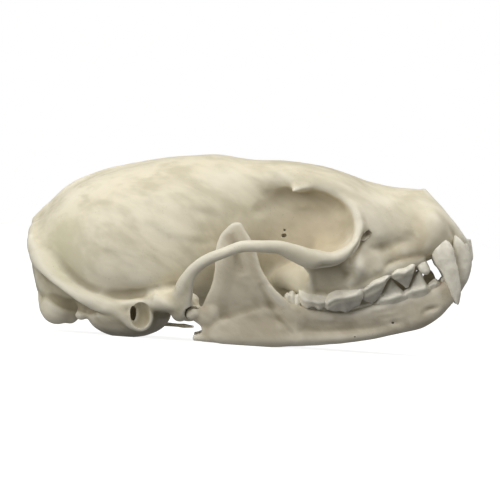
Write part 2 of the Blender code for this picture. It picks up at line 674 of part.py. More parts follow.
def parted(bone, cuts):
    """The bone parted by thin blocks, as new objects, the largest first. The bone itself is removed."""
    combined(bone, cuts, "DIFFERENCE")
    shape = bmesh.new()
    shape.from_mesh(bone.data)
    pieces = []
    for faces in islands(shape):
        piece = bmesh.new()
        twins = {vert: piece.verts.new(vert.co) for vert in {vert for face in faces for vert in face.verts}}
        for face in faces:
            piece.faces.new([twins[vert] for vert in face.verts])
        bmesh.ops.scale(piece, vec=(1 / MM, 1 / MM, 1 / MM), verts=piece.verts)
        pieces.append(made("piece", piece))
    shape.free()
    bpy.data.objects.remove(bone)
    return pieces


def middle_of(thing):
    """The mean place of the object's corners, in millimetres."""
    places = np.array([vert.co for vert in thing.data.vertices]) / MM
    return places.mean(axis=0)


def rest():
    """From the skull's own frame to the frame in which it rests on the floor."""
    tilt = Matrix.Rotation(math.radians(-REST_TILT_DEG), 4, "Y")
    return Matrix.Translation(Vector(REST_SHIFT) * MM) @ tilt


def finished(thing, look):
    """Tips the object to its rest pose, takes off what lies below the floor and gives it its material."""
    thing.data.transform(rest())
    combined(thing, [block("below_floor", (0, 0, -10), (200, 200, 20))], "DIFFERENCE")
    material = bpy.data.materials.new(thing.name)
    material.use_nodes = True
    shader = material.node_tree.nodes["Principled BSDF"]
    shader.inputs["Base Color"].default_value = look["colour"]
    shader.inputs["Roughness"].default_value = look["roughness"]
    thing.data.materials.clear()
    thing.data.materials.append(material)


def main():
    for thing in list(bpy.data.objects):
        bpy.data.objects.remove(thing)
    cuts = [slab("face_cut", *FACE_CUT), *paired([slab("arch_cut", *ARCH_BACK_CUT)])]
    back, front, *arches = parted(cranium(), cuts)
    back.name = "braincase"
    front.name = "muzzle"
    for arch in arches[:2]:
        arch.name = "zygomatic_arch_left" if middle_of(arch)[1] > 0 else "zygomatic_arch_right"
    for arch in arches[2:]:
        bpy.data.objects.remove(arch)
    capsule, jaw = ear_bone("auditory_bulla_left"), lower_jaw("mandible_left")
    capsules = [capsule, mirrored(capsule, "auditory_bulla_right")]
    jaws = [jaw, mirrored(jaw, "mandible_right")]
    for thing in [back, front, *arches[:2]]:
        finished(thing, BONE)
    for thing in capsules:
        finished(thing, CAPSULE_BONE)
    for thing in jaws:
        finished(thing, JAW_BONE)


main()
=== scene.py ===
"""Marten skull with its jaws closed, a life-size model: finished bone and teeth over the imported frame.

Shapes are worked out in millimetres in the skull's own frame: X runs forward from the back of the nuchal
crest, Y out to the animal's left from the midline, Z up from the lower border of the jaws. Each piece is
brought to the rest pose, in metres, when it is finished.
"""

import math

import bmesh
import bpy
import numpy as np
from mathutils import Matrix, Vector


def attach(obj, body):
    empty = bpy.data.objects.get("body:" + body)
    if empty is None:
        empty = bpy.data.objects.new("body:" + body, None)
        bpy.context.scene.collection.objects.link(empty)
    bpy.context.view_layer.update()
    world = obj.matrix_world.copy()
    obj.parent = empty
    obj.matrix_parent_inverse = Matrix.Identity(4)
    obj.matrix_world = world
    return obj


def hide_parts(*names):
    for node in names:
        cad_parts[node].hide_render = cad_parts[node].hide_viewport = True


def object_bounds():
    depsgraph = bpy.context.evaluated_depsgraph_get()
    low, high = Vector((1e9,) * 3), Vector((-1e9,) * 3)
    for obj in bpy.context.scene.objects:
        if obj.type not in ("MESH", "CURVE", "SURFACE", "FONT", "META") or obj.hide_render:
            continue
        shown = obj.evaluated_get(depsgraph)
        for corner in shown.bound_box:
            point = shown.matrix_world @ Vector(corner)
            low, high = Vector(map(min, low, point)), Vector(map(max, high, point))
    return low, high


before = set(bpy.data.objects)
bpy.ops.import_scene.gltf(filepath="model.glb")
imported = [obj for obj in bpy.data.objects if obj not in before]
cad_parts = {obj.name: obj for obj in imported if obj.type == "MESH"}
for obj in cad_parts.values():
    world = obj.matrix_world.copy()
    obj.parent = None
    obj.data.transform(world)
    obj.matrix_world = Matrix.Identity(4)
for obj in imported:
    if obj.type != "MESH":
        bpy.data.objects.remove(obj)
cad_low, cad_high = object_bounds()

MM = 0.001
PER_METRE = 1000.0
REST_TILT_DEG = 4.05
REST_SHIFT = (-40.17, 0.0, -3.25)

# Framing: the photo shows this width, round this point of the skull's own frame, from a little above.
VIEW_WIDTH = 92.5
VIEW_CENTRE = (41.44, 0.0, 17.76)
VIEW_RISE_DEG = 0.4
CAMERA_AWAY = 1500.0
CLIP_NEAR, CLIP_FAR = 0.05, 8.0
SENSOR = 36.0

# Soft studio lights in metres and watts: name, round from the camera's side, up from the floor, power.
LIGHT_AWAY, LIGHT_SIZE, LIGHT_AIM = 0.8, 0.45, (0.0, 0.0, 0.015)
LIGHTS = (
    ("high", -15, 62, 1.3),
    ("before", 80, 62, 2.8),
    ("main", -45, 35, 1.9),
    ("low", -35, 5, 2.1),
    ("behind", -130, 40, 1.0),
)
SURROUND = 0.23
FLOOR_HALF, FLOOR_GREY, FLOOR_ROUGHNESS = 3.0, 0.3, 0.9
# The floor glows more with the distance from its middle: two distances, then the glow at each.
FLOOR_GLOW = (0.06, 0.4, 0.88, 1.02)

# Fineness of the fused surfaces, and how many rounds each is relaxed.
SOFT_GRAIN, SOFT_ROUNDS = 0.5, 12
BONE_GRAIN, BONE_ROUNDS = 0.3, 4
JAW_GRAIN, JAW_ROUNDS = 0.26, 4
TOOTH_GRAIN, TOOTH_ROUNDS = 0.13, 2
MOST_TRIANGLES = 190000

# Lofts along X: place, half width, top, height of the widest line, bottom.
BRAINCASE = (
    (1.6, 5.0, 21.6, 18.5, 14.6), (2.6, 8.6, 23.6, 17.4, 10.0), (4.4, 11.4, 25.8, 16.6, 8.4),
    (8.1, 14.4, 29.2, 15.2, 7.4), (13.7, 16.6, 31.9, 14.4, 7.0), (19.0, 17.1, 33.3, 14.4, 7.0),
    (25.0, 16.7, 34.6, 15.2, 7.4), (30.0, 15.2, 35.2, 17.2, 8.0), (35.0, 12.8, 35.5, 19.8, 9.0),
    (39.6, 10.2, 34.9, 23.0, 10.5), (43.3, 8.4, 34.4, 26.0, 12.5), (46.6, 7.2, 34.2, 26.5, 14.0),
    (51.0, 5.6, 33.4, 26.0, 16.0), (56.0, 3.6, 31.6, 25.0, 18.0),
)
BACK_OF_SKULL = (
    (1.2, 6.0, 22.4, 19.0, 15.6), (2.2, 9.6, 23.4, 16.4, 9.6), (4.4, 12.6, 23.0, 14.0, 7.8),
    (8.0, 14.9, 21.0, 10.9, 6.6), (11.6, 15.9, 18.6, 8.8, 6.0), (15.0, 16.0, 16.0, 8.4, 6.0),
    (19.0, 15.2, 14.0, 8.8, 6.8), (24.0, 13.6, 12.0, 9.2, 7.6),
)
SKULL_BASE = (
    (4.6, 4.4, 11.0, 8.5, 6.6), (8.0, 6.0, 12.0, 8.5, 5.7), (15.0, 7.2, 12.0, 8.5, 5.6),
    (25.0, 7.0, 12.0, 8.8, 6.0), (32.0, 5.8, 12.0, 9.5, 6.9), (40.0, 5.0, 13.5, 11.0, 8.6),
    (47.0, 5.2, 15.0, 13.0, 11.0),
)
FOREHEAD = (
    (39.0, 8.0, 34.8, 29.2, 26.4), (43.3, 8.2, 34.4, 29.6, 26.4), (47.0, 9.4, 34.4, 29.3, 26.2),
    (50.7, 10.4, 34.0, 29.1, 26.0), (54.4, 10.2, 33.4, 28.9, 25.4), (58.1, 10.4, 32.4, 27.4, 22.0),
    (62.0, 9.8, 31.0, 24.0, 16.0),
)
ORBIT_WALL = (
    (38.0, 8.6, 33.0, 22.0, 11.0), (42.0, 7.4, 33.0, 21.5, 11.4), (46.0, 6.3, 33.0, 20.5, 12.0),
    (50.0, 5.9, 33.0, 20.0, 12.5), (55.0, 6.2, 32.0, 20.0, 13.0), (60.0, 8.0, 30.0, 20.0, 13.0),
)
UPPER_JAW = (
    (45.0, 6.6, 13.6, 12.0, 10.8), (47.4, 10.4, 15.0, 12.2, 10.4), (49.6, 12.5, 16.2, 11.4, 9.4),
    (52.0, 13.8, 17.6, 10.9, 8.7), (55.0, 14.0, 19.0, 10.8, 8.4), (59.0, 13.6, 21.0, 11.8, 9.2),
    (62.0, 12.7, 24.0, 13.2, 10.6), (66.0, 10.8, 26.0, 15.2, 12.4),
)
MUZZLE = (
    (54.0, 8.6, 32.6, 22.0, 14.0), (57.5, 10.9, 32.2, 21.6, 12.5), (60.5, 12.1, 31.3, 20.5, 11.6),
    (63.6, 11.3, 30.4, 18.6, 11.6), (67.0, 9.7, 29.6, 17.8, 12.4), (70.0, 8.9, 29.3, 18.2, 13.2),
    (73.0, 8.6, 29.0, 18.6, 14.3), (75.5, 8.5, 27.4, 19.4, 15.8), (77.6, 7.3, 24.8, 19.8, 17.7),
    (79.3, 4.9, 22.4, 19.2, 17.7), (81.1, 4.4, 19.9, 18.6, 17.3), (82.1, 3.4, 18.9, 18.1, 17.2),
)
MOUTH_ROOF = (
    (42.0, 7.0, 9.6, 4.0, -2.0), (47.0, 9.4, 11.4, 4.0, -2.0), (52.0, 10.8, 12.6, 4.0, -2.0),
    (58.0, 10.6, 13.4, 5.0, -2.0), (64.0, 8.4, 14.4, 6.0, -2.0), (70.0, 6.8, 16.0, 8.0, -2.0),
    (75.0, 5.8, 17.2, 10.0, -2.0), (79.0, 3.0, 17.9, 12.0, -2.0), (83.5, 1.5, 17.9, 12.0, -2.0),
)

# Ridges and bars along a path: x, y, z, half height, half thickness.
ZYGOMATIC_ARCH = (
    (28.2, 16.6, 8.6, 1.6, 1.6), (28.8, 18.8, 10.2, 1.6, 1.5), (29.6, 20.3, 12.0, 1.35, 1.4),
    (30.7, 21.4, 13.8, 1.15, 1.3), (33.2, 22.6, 15.9, 1.1, 1.3), (36.4, 22.9, 17.3, 1.05, 1.2),
    (41.0, 22.7, 18.6, 1.1, 1.15), (46.1, 21.5, 18.5, 1.2, 1.2), (49.2, 20.3, 17.5, 1.6, 1.3),
    (52.5, 18.8, 16.3, 1.9, 1.5), (55.8, 17.2, 16.1, 1.5, 1.5), (58.8, 15.4, 17.3, 1.15, 1.3),
    (60.9, 13.6, 19.5, 0.85, 1.1), (61.5, 11.9, 22.4, 0.8, 1.0), (60.7, 10.6, 25.2, 0.8, 1.0),
    (58.6, 9.7, 27.3, 0.8, 0.9), (56.0, 8.9, 28.7, 0.7, 0.8),
)
# Flat flares at the two ends of the arch, stacked in height as the jaw's upright plate is.
ARCH_BACK_ROOT = (
    (15.4, 32.0, 22.0, 33.6, 22.6, 0.9), (14.0, 30.4, 21.2, 32.3, 22.0, 1.1),
    (12.6, 29.5, 20.4, 31.4, 21.2, 1.2), (11.0, 29.0, 19.6, 31.1, 20.4, 1.2),
    (9.6, 28.2, 18.4, 31.0, 19.6, 1.3), (8.6, 26.8, 17.2, 30.9, 19.0, 1.5),
    (7.4, 26.2, 16.0, 31.2, 18.2, 1.6), (6.2, 26.8, 15.6, 30.2, 17.4, 1.3),
    (5.3, 27.6, 15.4, 29.2, 16.2, 0.8),
)
ARCH_FRONT_ROOT = (
    (17.2, 48.8, 19.6, 59.6, 14.4, 1.1), (15.8, 49.8, 18.4, 60.2, 13.2, 1.2),
    (14.4, 50.8, 16.9, 60.6, 12.4, 1.3), (12.6, 51.9, 15.0, 60.8, 11.8, 1.4),
    (10.6, 51.9, 13.4, 60.4, 11.4, 1.3),
)
INFRAORBITAL_SLOT = (
    (63.4, 11.0, 21.2, 0.3, 0.7), (62.9, 12.0, 20.4, 0.5, 0.8), (62.2, 12.9, 19.4, 0.4, 0.7),
    (61.4, 13.7, 18.2, 0.25, 0.5), (60.8, 14.1, 17.4, 0.12, 0.3),
)
NOSE_RIM = (
    (73.5, 0.0, 28.5, 0.7, 0.7), (73.7, 1.8, 28.3, 0.7, 0.7), (74.5, 3.3, 27.5, 0.7, 0.75),
    (76.0, 4.2, 26.1, 0.75, 0.8), (78.1, 4.5, 23.3, 0.8, 0.8), (79.8, 4.2, 20.8, 0.9, 0.8),
    (81.0, 3.0, 19.0, 0.9, 0.8), (81.3, 1.2, 18.4, 0.8, 0.8),
)
NUCHAL_CREST = (
    (2.0, 0.0, 22.0, 1.4, 0.9), (1.4, 3.4, 21.6, 1.5, 0.9), (1.2, 7.2, 19.8, 1.5, 0.8),
    (2.1, 10.3, 17.2, 1.5, 0.7), (4.5, 12.8, 14.0, 1.5, 0.7), (7.9, 14.5, 10.8, 1.5, 0.8),
    (11.6, 15.4, 9.2, 1.5, 0.9), (15.0, 15.9, 8.1, 1.4, 0.9),
)
SAGITTAL_CREST = (
    (1.4, 0.0, 22.6, 1.4, 0.7), (4.4, 0.0, 25.6, 1.3, 0.8), (10.0, 0.0, 30.1, 1.3, 0.8),
    (17.4, 0.0, 32.6, 1.1, 0.8), (25.0, 0.0, 34.0, 0.9, 0.7), (31.0, 0.0, 34.7, 0.8, 0.6),
)
BROW_POINT = (
    (51.4, 7.6, 29.6, 1.2, 3.4), (50.4, 9.3, 29.3, 1.0, 2.3), (49.6, 10.5, 28.9, 0.7, 1.2),
    (49.1, 11.3, 28.5, 0.35, 0.45),
)
CONDYLE_RIM = (
    (5.4, 5.4, 5.0, 1.0, 1.0), (3.9, 6.0, 7.0, 1.3, 1.2), (3.3, 5.2, 9.2, 1.0, 1.0),
    (3.1, 3.2, 10.8, 0.8, 0.8), (3.0, 0.0, 11.4, 0.7, 0.7),
)
SHELF_OVER_EAR = (
    (30.4, 17.4, 8.6, 1.7, 2.2), (27.6, 16.9, 8.1, 1.6, 1.9), (24.6, 16.2, 8.0, 1.2, 1.6),
    (21.4, 15.5, 8.4, 0.9, 1.3), (17.4, 15.3, 8.0, 1.1, 1.2), (14.4, 15.0, 8.4, 0.9, 0.9),
)
TOOTH_BORDER = (
    (51.2, 12.7, 10.5, 0.8, 0.8), (53.2, 12.8, 9.9, 0.8, 0.8), (55.2, 12.8, 9.4, 0.8, 0.8),
    (58.0, 12.3, 10.2, 0.9, 0.9), (62.0, 11.0, 11.5, 1.0, 0.9), (66.0, 9.1, 13.7, 1.1, 0.9),
    (69.0, 8.2, 14.9, 1.1, 0.9), (71.6, 7.5, 15.8, 1.1, 0.9), (73.3, 7.0, 16.5, 1.05, 0.9),
)
MASTOID = (
    (12.4, 14.4, 9.8, 1.8, 1.6), (15.0, 15.4, 8.2, 1.6, 1.4), (17.2, 15.7, 6.7, 1.4, 1.1),
    (18.6, 15.6, 5.3, 0.9, 0.9), (19.8, 15.3, 4.0, 0.7, 0.8), (21.2, 15.0, 3.3, 0.5, 0.7),
)
PTERYGOID = (
    (50.0, 5.8, 11.6, 2.6, 0.8), (46.5, 5.4, 10.8, 2.6, 0.8), (42.0, 5.0, 8.6, 1.8, 0.6),
    (37.0, 4.8, 6.6, 1.6, 0.6), (34.2, 4.8, 5.2, 1.1, 0.5), (32.6, 4.8, 4.4, 0.6, 0.4),
)
EAR_SPINE = (
    (22.6, 8.6, 4.3, 0.5, 0.5), (25.2, 8.0, 4.1, 0.28, 0.28), (28.0, 7.4, 3.85, 0.2, 0.22),
    (29.2, 7.1, 3.75, 0.28, 0.26), (30.1, 6.9, 3.65, 0.18, 0.18), (31.1, 6.7, 3.55, 0.06, 0.06),
)

# Rounded lumps: centre, radii.
SLOT_LIP = ((61.2, 12.2, 14.8), (1.6, 1.9, 2.0))
ARCH_ROOT_FILL = ((26.6, 13.8, 8.6), (6.0, 4.2, 2.3))
JAW_SOCKET = ((28.7, 15.0, 8.2), (2.4, 3.4, 1.7))
SOCKET_LIP = ((31.6, 15.4, 7.3), (1.2, 2.2, 0.5))
BEHIND_SOCKET = ((28.6, 13.6, 6.6), (1.7, 3.6, 1.9))
BESIDE_SOCKET = ((30.2, 10.4, 6.4), (2.2, 0.9, 1.8))
ARCH_SOCKET_LUMPS = (JAW_SOCKET, SOCKET_LIP, BEHIND_SOCKET, BESIDE_SOCKET)
OCCIPITAL_CONDYLE = ((5.9, 6.6, 7.2), (3.1, 3.0, 3.15))
CONDYLE_NECK = ((8.3, 5.6, 7.0), (2.0, 2.4, 2.9))
BESIDE_CONDYLE = ((10.4, 10.6, 6.6), (1.4, 1.3, 1.8))
CANINE_SWELLING = ((74.6, 6.9, 21.4), (3.0, 1.9, 3.6))
EAR_CAPSULE = ((19.2, 10.6, 5.8), (7.6, 5.0, 4.05))

# Holes: centre, radii.
EYE_SOCKET = ((53.7, 15.6, 23.0), (7.7, 9.6, 6.3))
BEHIND_EYE = ((48.4, 14.6, 21.4), (7.6, 8.9, 7.2))
UNDER_BROW = ((50.4, 10.6, 25.3), (9.2, 4.7, 3.9))
NOSE_HOLE = ((76.5, 0.0, 23.8), (8.5, 3.9, 3.7))
NOSE_HOLE_SLOPE_DEG = 18.0
NECK_HOLE = ((3.0, 0.0, 8.6), (6.4, 4.3, 2.5))
NECK_HOLE_SLOPE_DEG = -12.0
# Straight small holes: start, end, radii.
SOCKET_HOLES = (
    ((47.7, 5.0, 20.5), (47.7, 9.0, 20.5), (0.5, 0.36)),
    ((47.8, 5.2, 21.5), (47.8, 9.0, 21.5), (0.2, 0.2)),
)
EAR_TUBE_FROM, EAR_TUBE_TO = (21.3, 11.0, 5.8), (21.5, 16.3, 5.8)
EAR_TUBE_OUTER = (2.3, 2.85)
EAR_BOWL = ((21.4, 17.4, 5.8), (2.1, 2.5, 2.65))
EAR_PASSAGE = ((20.0, 15.0, 6.4), (0.65, 2.2, 1.6))
BESIDE_EAR = ((17.4, 13.9, 7.0), (4.6, 2.4, 3.0))
# The trough in the cranium that holds the jaw's hinge, with a gap: its ends, then its radii.
JAW_TROUGH = ((30.9, 11.2, 6.2), (30.9, 21.2, 6.2), (1.42, 1.42))
JAW_CONDYLE = (
    (30.9, 12.2, 6.2, 0.5, 0.6), (30.9, 13.0, 6.2, 1.0, 1.1), (30.9, 15.6, 6.2, 1.15, 1.3),
    (30.9, 17.2, 6.2, 1.1, 1.25), (30.9, 17.9, 6.2, 0.8, 0.9), (30.9, 18.2, 6.2, 0.3, 0.4),
)
# Straight small holes in the jaw: start, end, radii.
JAW_HOLES = (
    ((67.7, 7.0, 4.4), (68.1, 12.0, 4.6), (0.3, 0.2)),
    ((60.7, 10.4, 1.9), (60.7, 14.0, 1.9), (0.16, 0.12)),
)
# All that reaches past the midline, which is cut off one half of the jaw.
PAST_MIDLINE = ((60, 0.02, 10), (60, -12, 10), (60, 60))

# The lower jaw along X: place, middle, half thickness, top, bottom.
JAW_BODY = (
    (34.0, 16.2, 1.0, 3.8, 1.4), (35.4, 16.1, 1.4, 5.2, 0.9), (39.0, 15.4, 1.7, 6.4, 0.3),
    (44.2, 14.0, 2.0, 8.0, 0.0), (48.6, 12.6, 2.3, 8.2, 0.2), (53.5, 11.0, 2.35, 6.9, 0.35),
    (58.5, 9.4, 2.35, 6.4, 0.7), (64.0, 7.0, 2.5, 7.8, 1.4), (67.0, 5.7, 2.7, 8.6, 2.0),
    (70.0, 4.3, 3.1, 9.6, 2.6), (73.0, 3.4, 3.4, 10.8, 3.3), (76.2, 3.1, 3.3, 12.2, 5.2),
    (78.6, 2.8, 2.8, 13.1, 7.6), (80.3, 2.1, 2.0, 13.2, 9.8), (80.9, 1.8, 1.4, 12.9, 11.2),
)
# The upright plate of the lower jaw: height, x and y of the back edge, x and y of the front edge, half
# thickness. Every plate is a stack of superellipses of this power.
PLATE_POWER = 3.4
JAW_PLATE = (
    (22.9, 38.3, 16.8, 39.9, 16.8, 0.4), (22.2, 37.4, 16.8, 40.2, 16.7, 0.6),
    (20.4, 35.9, 16.7, 41.2, 16.5, 0.75), (17.8, 35.1, 16.6, 42.2, 16.2, 0.8),
    (14.1, 34.9, 16.4, 43.4, 15.6, 0.85), (11.1, 34.2, 16.3, 45.2, 14.8, 0.9),
    (9.1, 33.3, 16.2, 47.4, 14.0, 1.1), (6.0, 32.4, 16.2, 50.0, 12.8, 1.3),
    (3.0, 32.6, 16.3, 50.0, 12.8, 1.4), (1.0, 34.0, 16.0, 48.0, 13.2, 1.0),
)
JAW_NECK = (
    (35.8, 16.0, 6.0, 2.8, 1.0), (33.8, 16.2, 5.7, 2.2, 1.3), (32.4, 16.3, 5.9, 1.7, 1.3),
    (31.0, 16.4, 6.2, 1.0, 1.3),
)
JAW_ANGLE = (
    (36.4, 15.9, 2.0, 1.2, 1.1), (34.0, 16.2, 1.95, 1.0, 0.8), (32.2, 16.3, 1.85, 0.8, 0.6),
    (30.9, 16.4, 1.8, 0.65, 0.45),
)
PLATE_RIDGE = (
    (39.6, 16.7, 22.0, 0.5, 0.5), (41.7, 16.4, 18.4, 0.6, 0.6), (42.9, 15.8, 14.2, 0.7, 0.7),
    (44.9, 15.0, 10.6, 0.9, 0.8), (47.7, 13.9, 7.6, 1.1, 0.9), (49.8, 12.8, 5.0, 1.2, 0.8),
)
# The hollow for the chewing muscle on the jaw's outer side: its outline in the side view, as x and z.
MUSCLE_HOLLOW = (
    (38.9, 20.6), (40.6, 17.4), (41.6, 14.1), (43.2, 11.4), (45.6, 8.6), (48.2, 6.0), (48.6, 4.2),
    (46.4, 3.0), (41.8, 2.5), (37.0, 3.0), (34.2, 4.4), (34.6, 7.2), (35.6, 12.0), (36.4, 17.0),
)
MUSCLE_HOLLOW_DEPTH, MUSCLE_HOLLOW_EDGE = 0.6, 3.0

# Teeth with an edge along X: x, y, half width, gum height, edge height.
UPPER_SECOND_PREMOLAR = (
    (67.2, 8.65, 0.4, 13.2, 12.9), (67.8, 8.5, 0.95, 13.8, 12.4), (68.7, 8.3, 1.2, 14.2, 11.9),
    (69.7, 8.15, 1.25, 14.15, 11.1), (70.4, 8.0, 1.15, 14.5, 10.7), (71.0, 7.9, 1.0, 14.9, 11.9),
    (71.5, 7.8, 0.75, 15.2, 13.4), (71.9, 7.7, 0.4, 15.3, 14.5),
)
UPPER_THIRD_PREMOLAR = (
    (62.0, 10.5, 0.4, 11.0, 9.0), (62.5, 10.3, 1.1, 11.1, 8.4), (63.9, 9.9, 1.45, 11.9, 8.1),
    (65.0, 9.6, 1.35, 12.3, 8.9), (66.0, 9.3, 1.15, 12.7, 10.7), (66.7, 9.1, 0.85, 13.0, 12.0),
    (67.3, 8.95, 0.35, 13.2, 12.8),
)
UPPER_CARNASSIAL = (
    (55.0, 13.0, 0.4, 8.3, 7.5), (55.8, 12.95, 1.1, 8.9, 6.8), (57.2, 12.75, 1.3, 9.6, 6.5),
    (58.0, 12.6, 1.3, 9.7, 6.6), (59.0, 12.4, 1.4, 9.75, 6.3), (60.3, 12.0, 1.25, 10.0, 6.9),
    (61.4, 11.6, 0.95, 10.25, 7.6), (62.2, 11.3, 0.4, 10.5, 8.9),
)
UPPER_MOLAR = (
    (50.3, 12.8, 0.4, 9.8, 9.0), (51.0, 12.95, 1.1, 9.5, 7.6), (52.0, 13.05, 1.35, 9.2, 7.0),
    (53.1, 13.1, 1.25, 8.9, 7.4), (54.1, 13.1, 1.35, 8.8, 6.8), (54.9, 13.05, 1.1, 8.6, 7.4),
    (55.4, 13.0, 0.4, 8.5, 8.0),
)
LOWER_SECOND_PREMOLAR = (
    (73.9, 5.75, 0.3, 10.8, 11.3), (74.9, 5.65, 0.75, 11.0, 12.2), (75.6, 5.55, 0.75, 11.2, 12.6),
    (76.5, 5.45, 0.35, 11.4, 11.8),
)
LOWER_THIRD_PREMOLAR = (
    (69.8, 6.9, 0.4, 9.2, 10.4), (70.7, 6.75, 0.9, 9.5, 11.0), (71.7, 6.6, 1.05, 9.7, 12.7),
    (72.8, 6.45, 1.1, 9.9, 14.2), (73.6, 6.3, 1.0, 10.1, 12.2), (74.2, 6.1, 0.8, 10.3, 11.4),
    (74.8, 5.9, 0.3, 10.5, 10.9),
)
LOWER_FOURTH_PREMOLAR = (
    (64.4, 8.2, 0.4, 7.7, 8.8), (65.2, 8.05, 1.0, 7.9, 9.7), (66.0, 7.9, 1.1, 8.0, 10.2),
    (66.7, 7.75, 1.15, 8.1, 11.4), (67.5, 7.6, 1.2, 8.3, 12.5), (68.3, 7.4, 1.1, 8.6, 11.6),
    (69.2, 7.2, 0.95, 8.8, 10.7), (70.2, 7.0, 0.5, 9.1, 9.9),
)
LOWER_CARNASSIAL = (
    (56.2, 9.7, 0.5, 6.3, 7.4), (57.0, 9.45, 1.1, 6.4, 8.4), (58.6, 9.05, 1.25, 6.5, 8.7),
    (59.4, 8.85, 1.2, 6.6, 10.3), (60.2, 8.65, 1.15, 6.7, 11.1), (61.2, 8.4, 1.1, 6.8, 10.1),
    (62.4, 8.1, 1.05, 7.0, 10.4), (63.6, 7.7, 0.9, 7.2, 9.5), (64.6, 7.3, 0.4, 7.5, 8.2),
)
# How deep the teeth are rooted in the bone, and a cusp's share of its width at the root and at the tip.
TOOTH_ROOT, BLADE_ROOT, ROOT_SHARE, TIP_SHARE = 1.6, 0.9, 0.75, 0.05
# The gum lines along X, where the bright band of a tooth ends: place, height.
UPPER_GUM = ((50.3, 9.8), (55.2, 8.5), (57.4, 9.6), (62.2, 10.5), (67.2, 13.2), (69.0, 14.2), (71.9, 15.3))
LOWER_GUM = ((49.0, 8.2), (54.0, 6.2), (60.0, 6.7), (64.6, 7.6), (70.1, 9.1), (76.5, 11.4))
# Where the painted shade on the crown starts and is full beyond the gum line, and starts and ends along X,
# and how much of it the lower teeth show.
CROWN_SHADE_EDGE, CROWN_SHADE_START, CROWN_SHADE_END, LOWER_CROWN_SHADE_SHARE = (1.1, 1.9), (51.0, 53.0), (71.6, 73.4), 0.35
# Half of a blade's section: share of the way (-1 to 0 the root, 0 to 0.3 the band beside the gum, 0.3 to 1
# the crown up to its edge), share of the half width. The band is this high, or a share of a low crown.
BAND_HEIGHT, BAND_SHARE, BAND_OF_LOW_CROWN = 1.15, 0.3, 0.62
BLADE_PROFILE = (
    (-1.0, 0.2), (-0.5, 0.5), (-0.1, 0.8), (0.03, 1.0), (0.1, 1.2), (0.17, 1.26), (0.24, 1.14),
    (0.3, 0.84), (0.4, 0.68), (0.56, 0.57), (0.72, 0.46), (0.86, 0.34), (0.95, 0.2), (1.0, 0.0),
)

# Rounded cusps: x, y, z at the gum, x, y, z at the tip, half length, half width, roundness of the outline.
UPPER_CUSPS = (
    (80.9, 3.4, 18.4, 81.6, 3.6, 14.6, 0.95, 0.85, 4.0),
    (81.7, 2.05, 18.2, 82.0, 2.1, 15.1, 0.75, 0.68, 5.0),
    (81.9, 0.7, 18.2, 82.2, 0.72, 15.3, 0.7, 0.62, 5.0),
    (73.0, 7.0, 15.4, 73.9, 7.65, 13.2, 1.2, 0.95, 5.0),
    (61.2, 10.2, 11.8, 61.2, 10.1, 9.4, 1.1, 1.1, 2.2),
    (52.2, 11.2, 10.6, 52.1, 11.2, 8.8, 1.5, 1.5, 3.4),
    (50.6, 10.6, 11.6, 50.3, 10.6, 9.8, 1.2, 1.5, 3.6),
    (51.6, 9.2, 12.4, 51.4, 9.1, 10.4, 1.5, 1.5, 3.4),
)
LOWER_CUSPS = (
    (80.0, 0.62, 12.2, 80.9, 0.65, 15.0, 0.5, 0.55, 5.0),
    (79.9, 1.75, 12.2, 80.8, 1.85, 15.3, 0.55, 0.6, 5.0),
    (79.4, 2.85, 12.2, 80.4, 3.0, 15.6, 0.65, 0.65, 4.0),
    (77.0, 4.7, 11.6, 77.0, 4.75, 12.9, 0.55, 0.5, 3.0),
    (57.4, 8.2, 6.6, 57.3, 8.1, 8.6, 1.2, 0.8, 2.2),
    (59.4, 7.7, 6.6, 59.3, 7.6, 9.6, 0.8, 0.6, 2.0),
    (54.4, 10.7, 6.4, 54.4, 10.7, 9.2, 1.7, 1.2, 3.4),
    (52.4, 11.3, 6.6, 52.4, 11.3, 8.8, 1.3, 1.2, 3.4),
    (50.1, 12.2, 8.2, 50.1, 12.3, 9.9, 0.8, 1.0, 3.6),
    (49.2, 12.2, 8.2, 49.2, 12.3, 10.3, 0.75, 1.0, 3.2),
    (48.3, 12.4, 8.2, 48.3, 12.5, 10.1, 0.8, 1.0, 3.6),
    (49.2, 11.2, 8.0, 49.2, 11.1, 10.5, 1.3, 0.9, 3.2),
)
# The left upper premolars stand a little further forward than the right ones, and two of the left lower
# ones stand higher, as much as the gaps between the right ones show.
LEFT_STEP = 0.7
LEFT_LOWER_FOURTH_PREMOLAR = (
    (64.4, 7.15, 0.4, 7.7, 8.8), (65.4, 7.0, 1.0, 8.0, 10.2), (66.3, 6.85, 1.1, 8.1, 11.0),
    (66.9, 6.75, 1.2, 8.2, 12.4), (67.6, 6.65, 1.25, 8.3, 13.8), (68.4, 6.5, 1.15, 8.5, 12.4),
    (69.3, 6.3, 0.95, 8.8, 12.1), (70.3, 6.1, 0.5, 9.1, 11.2),
)
LEFT_LOWER_SECOND_PREMOLAR = (
    (73.2, 5.4, 0.4, 10.6, 11.8), (73.9, 5.3, 0.8, 10.9, 13.4), (74.8, 5.25, 0.9, 11.1, 14.1),
    (75.5, 5.2, 0.75, 11.3, 13.5), (76.1, 5.1, 0.3, 11.4, 12.0),
)
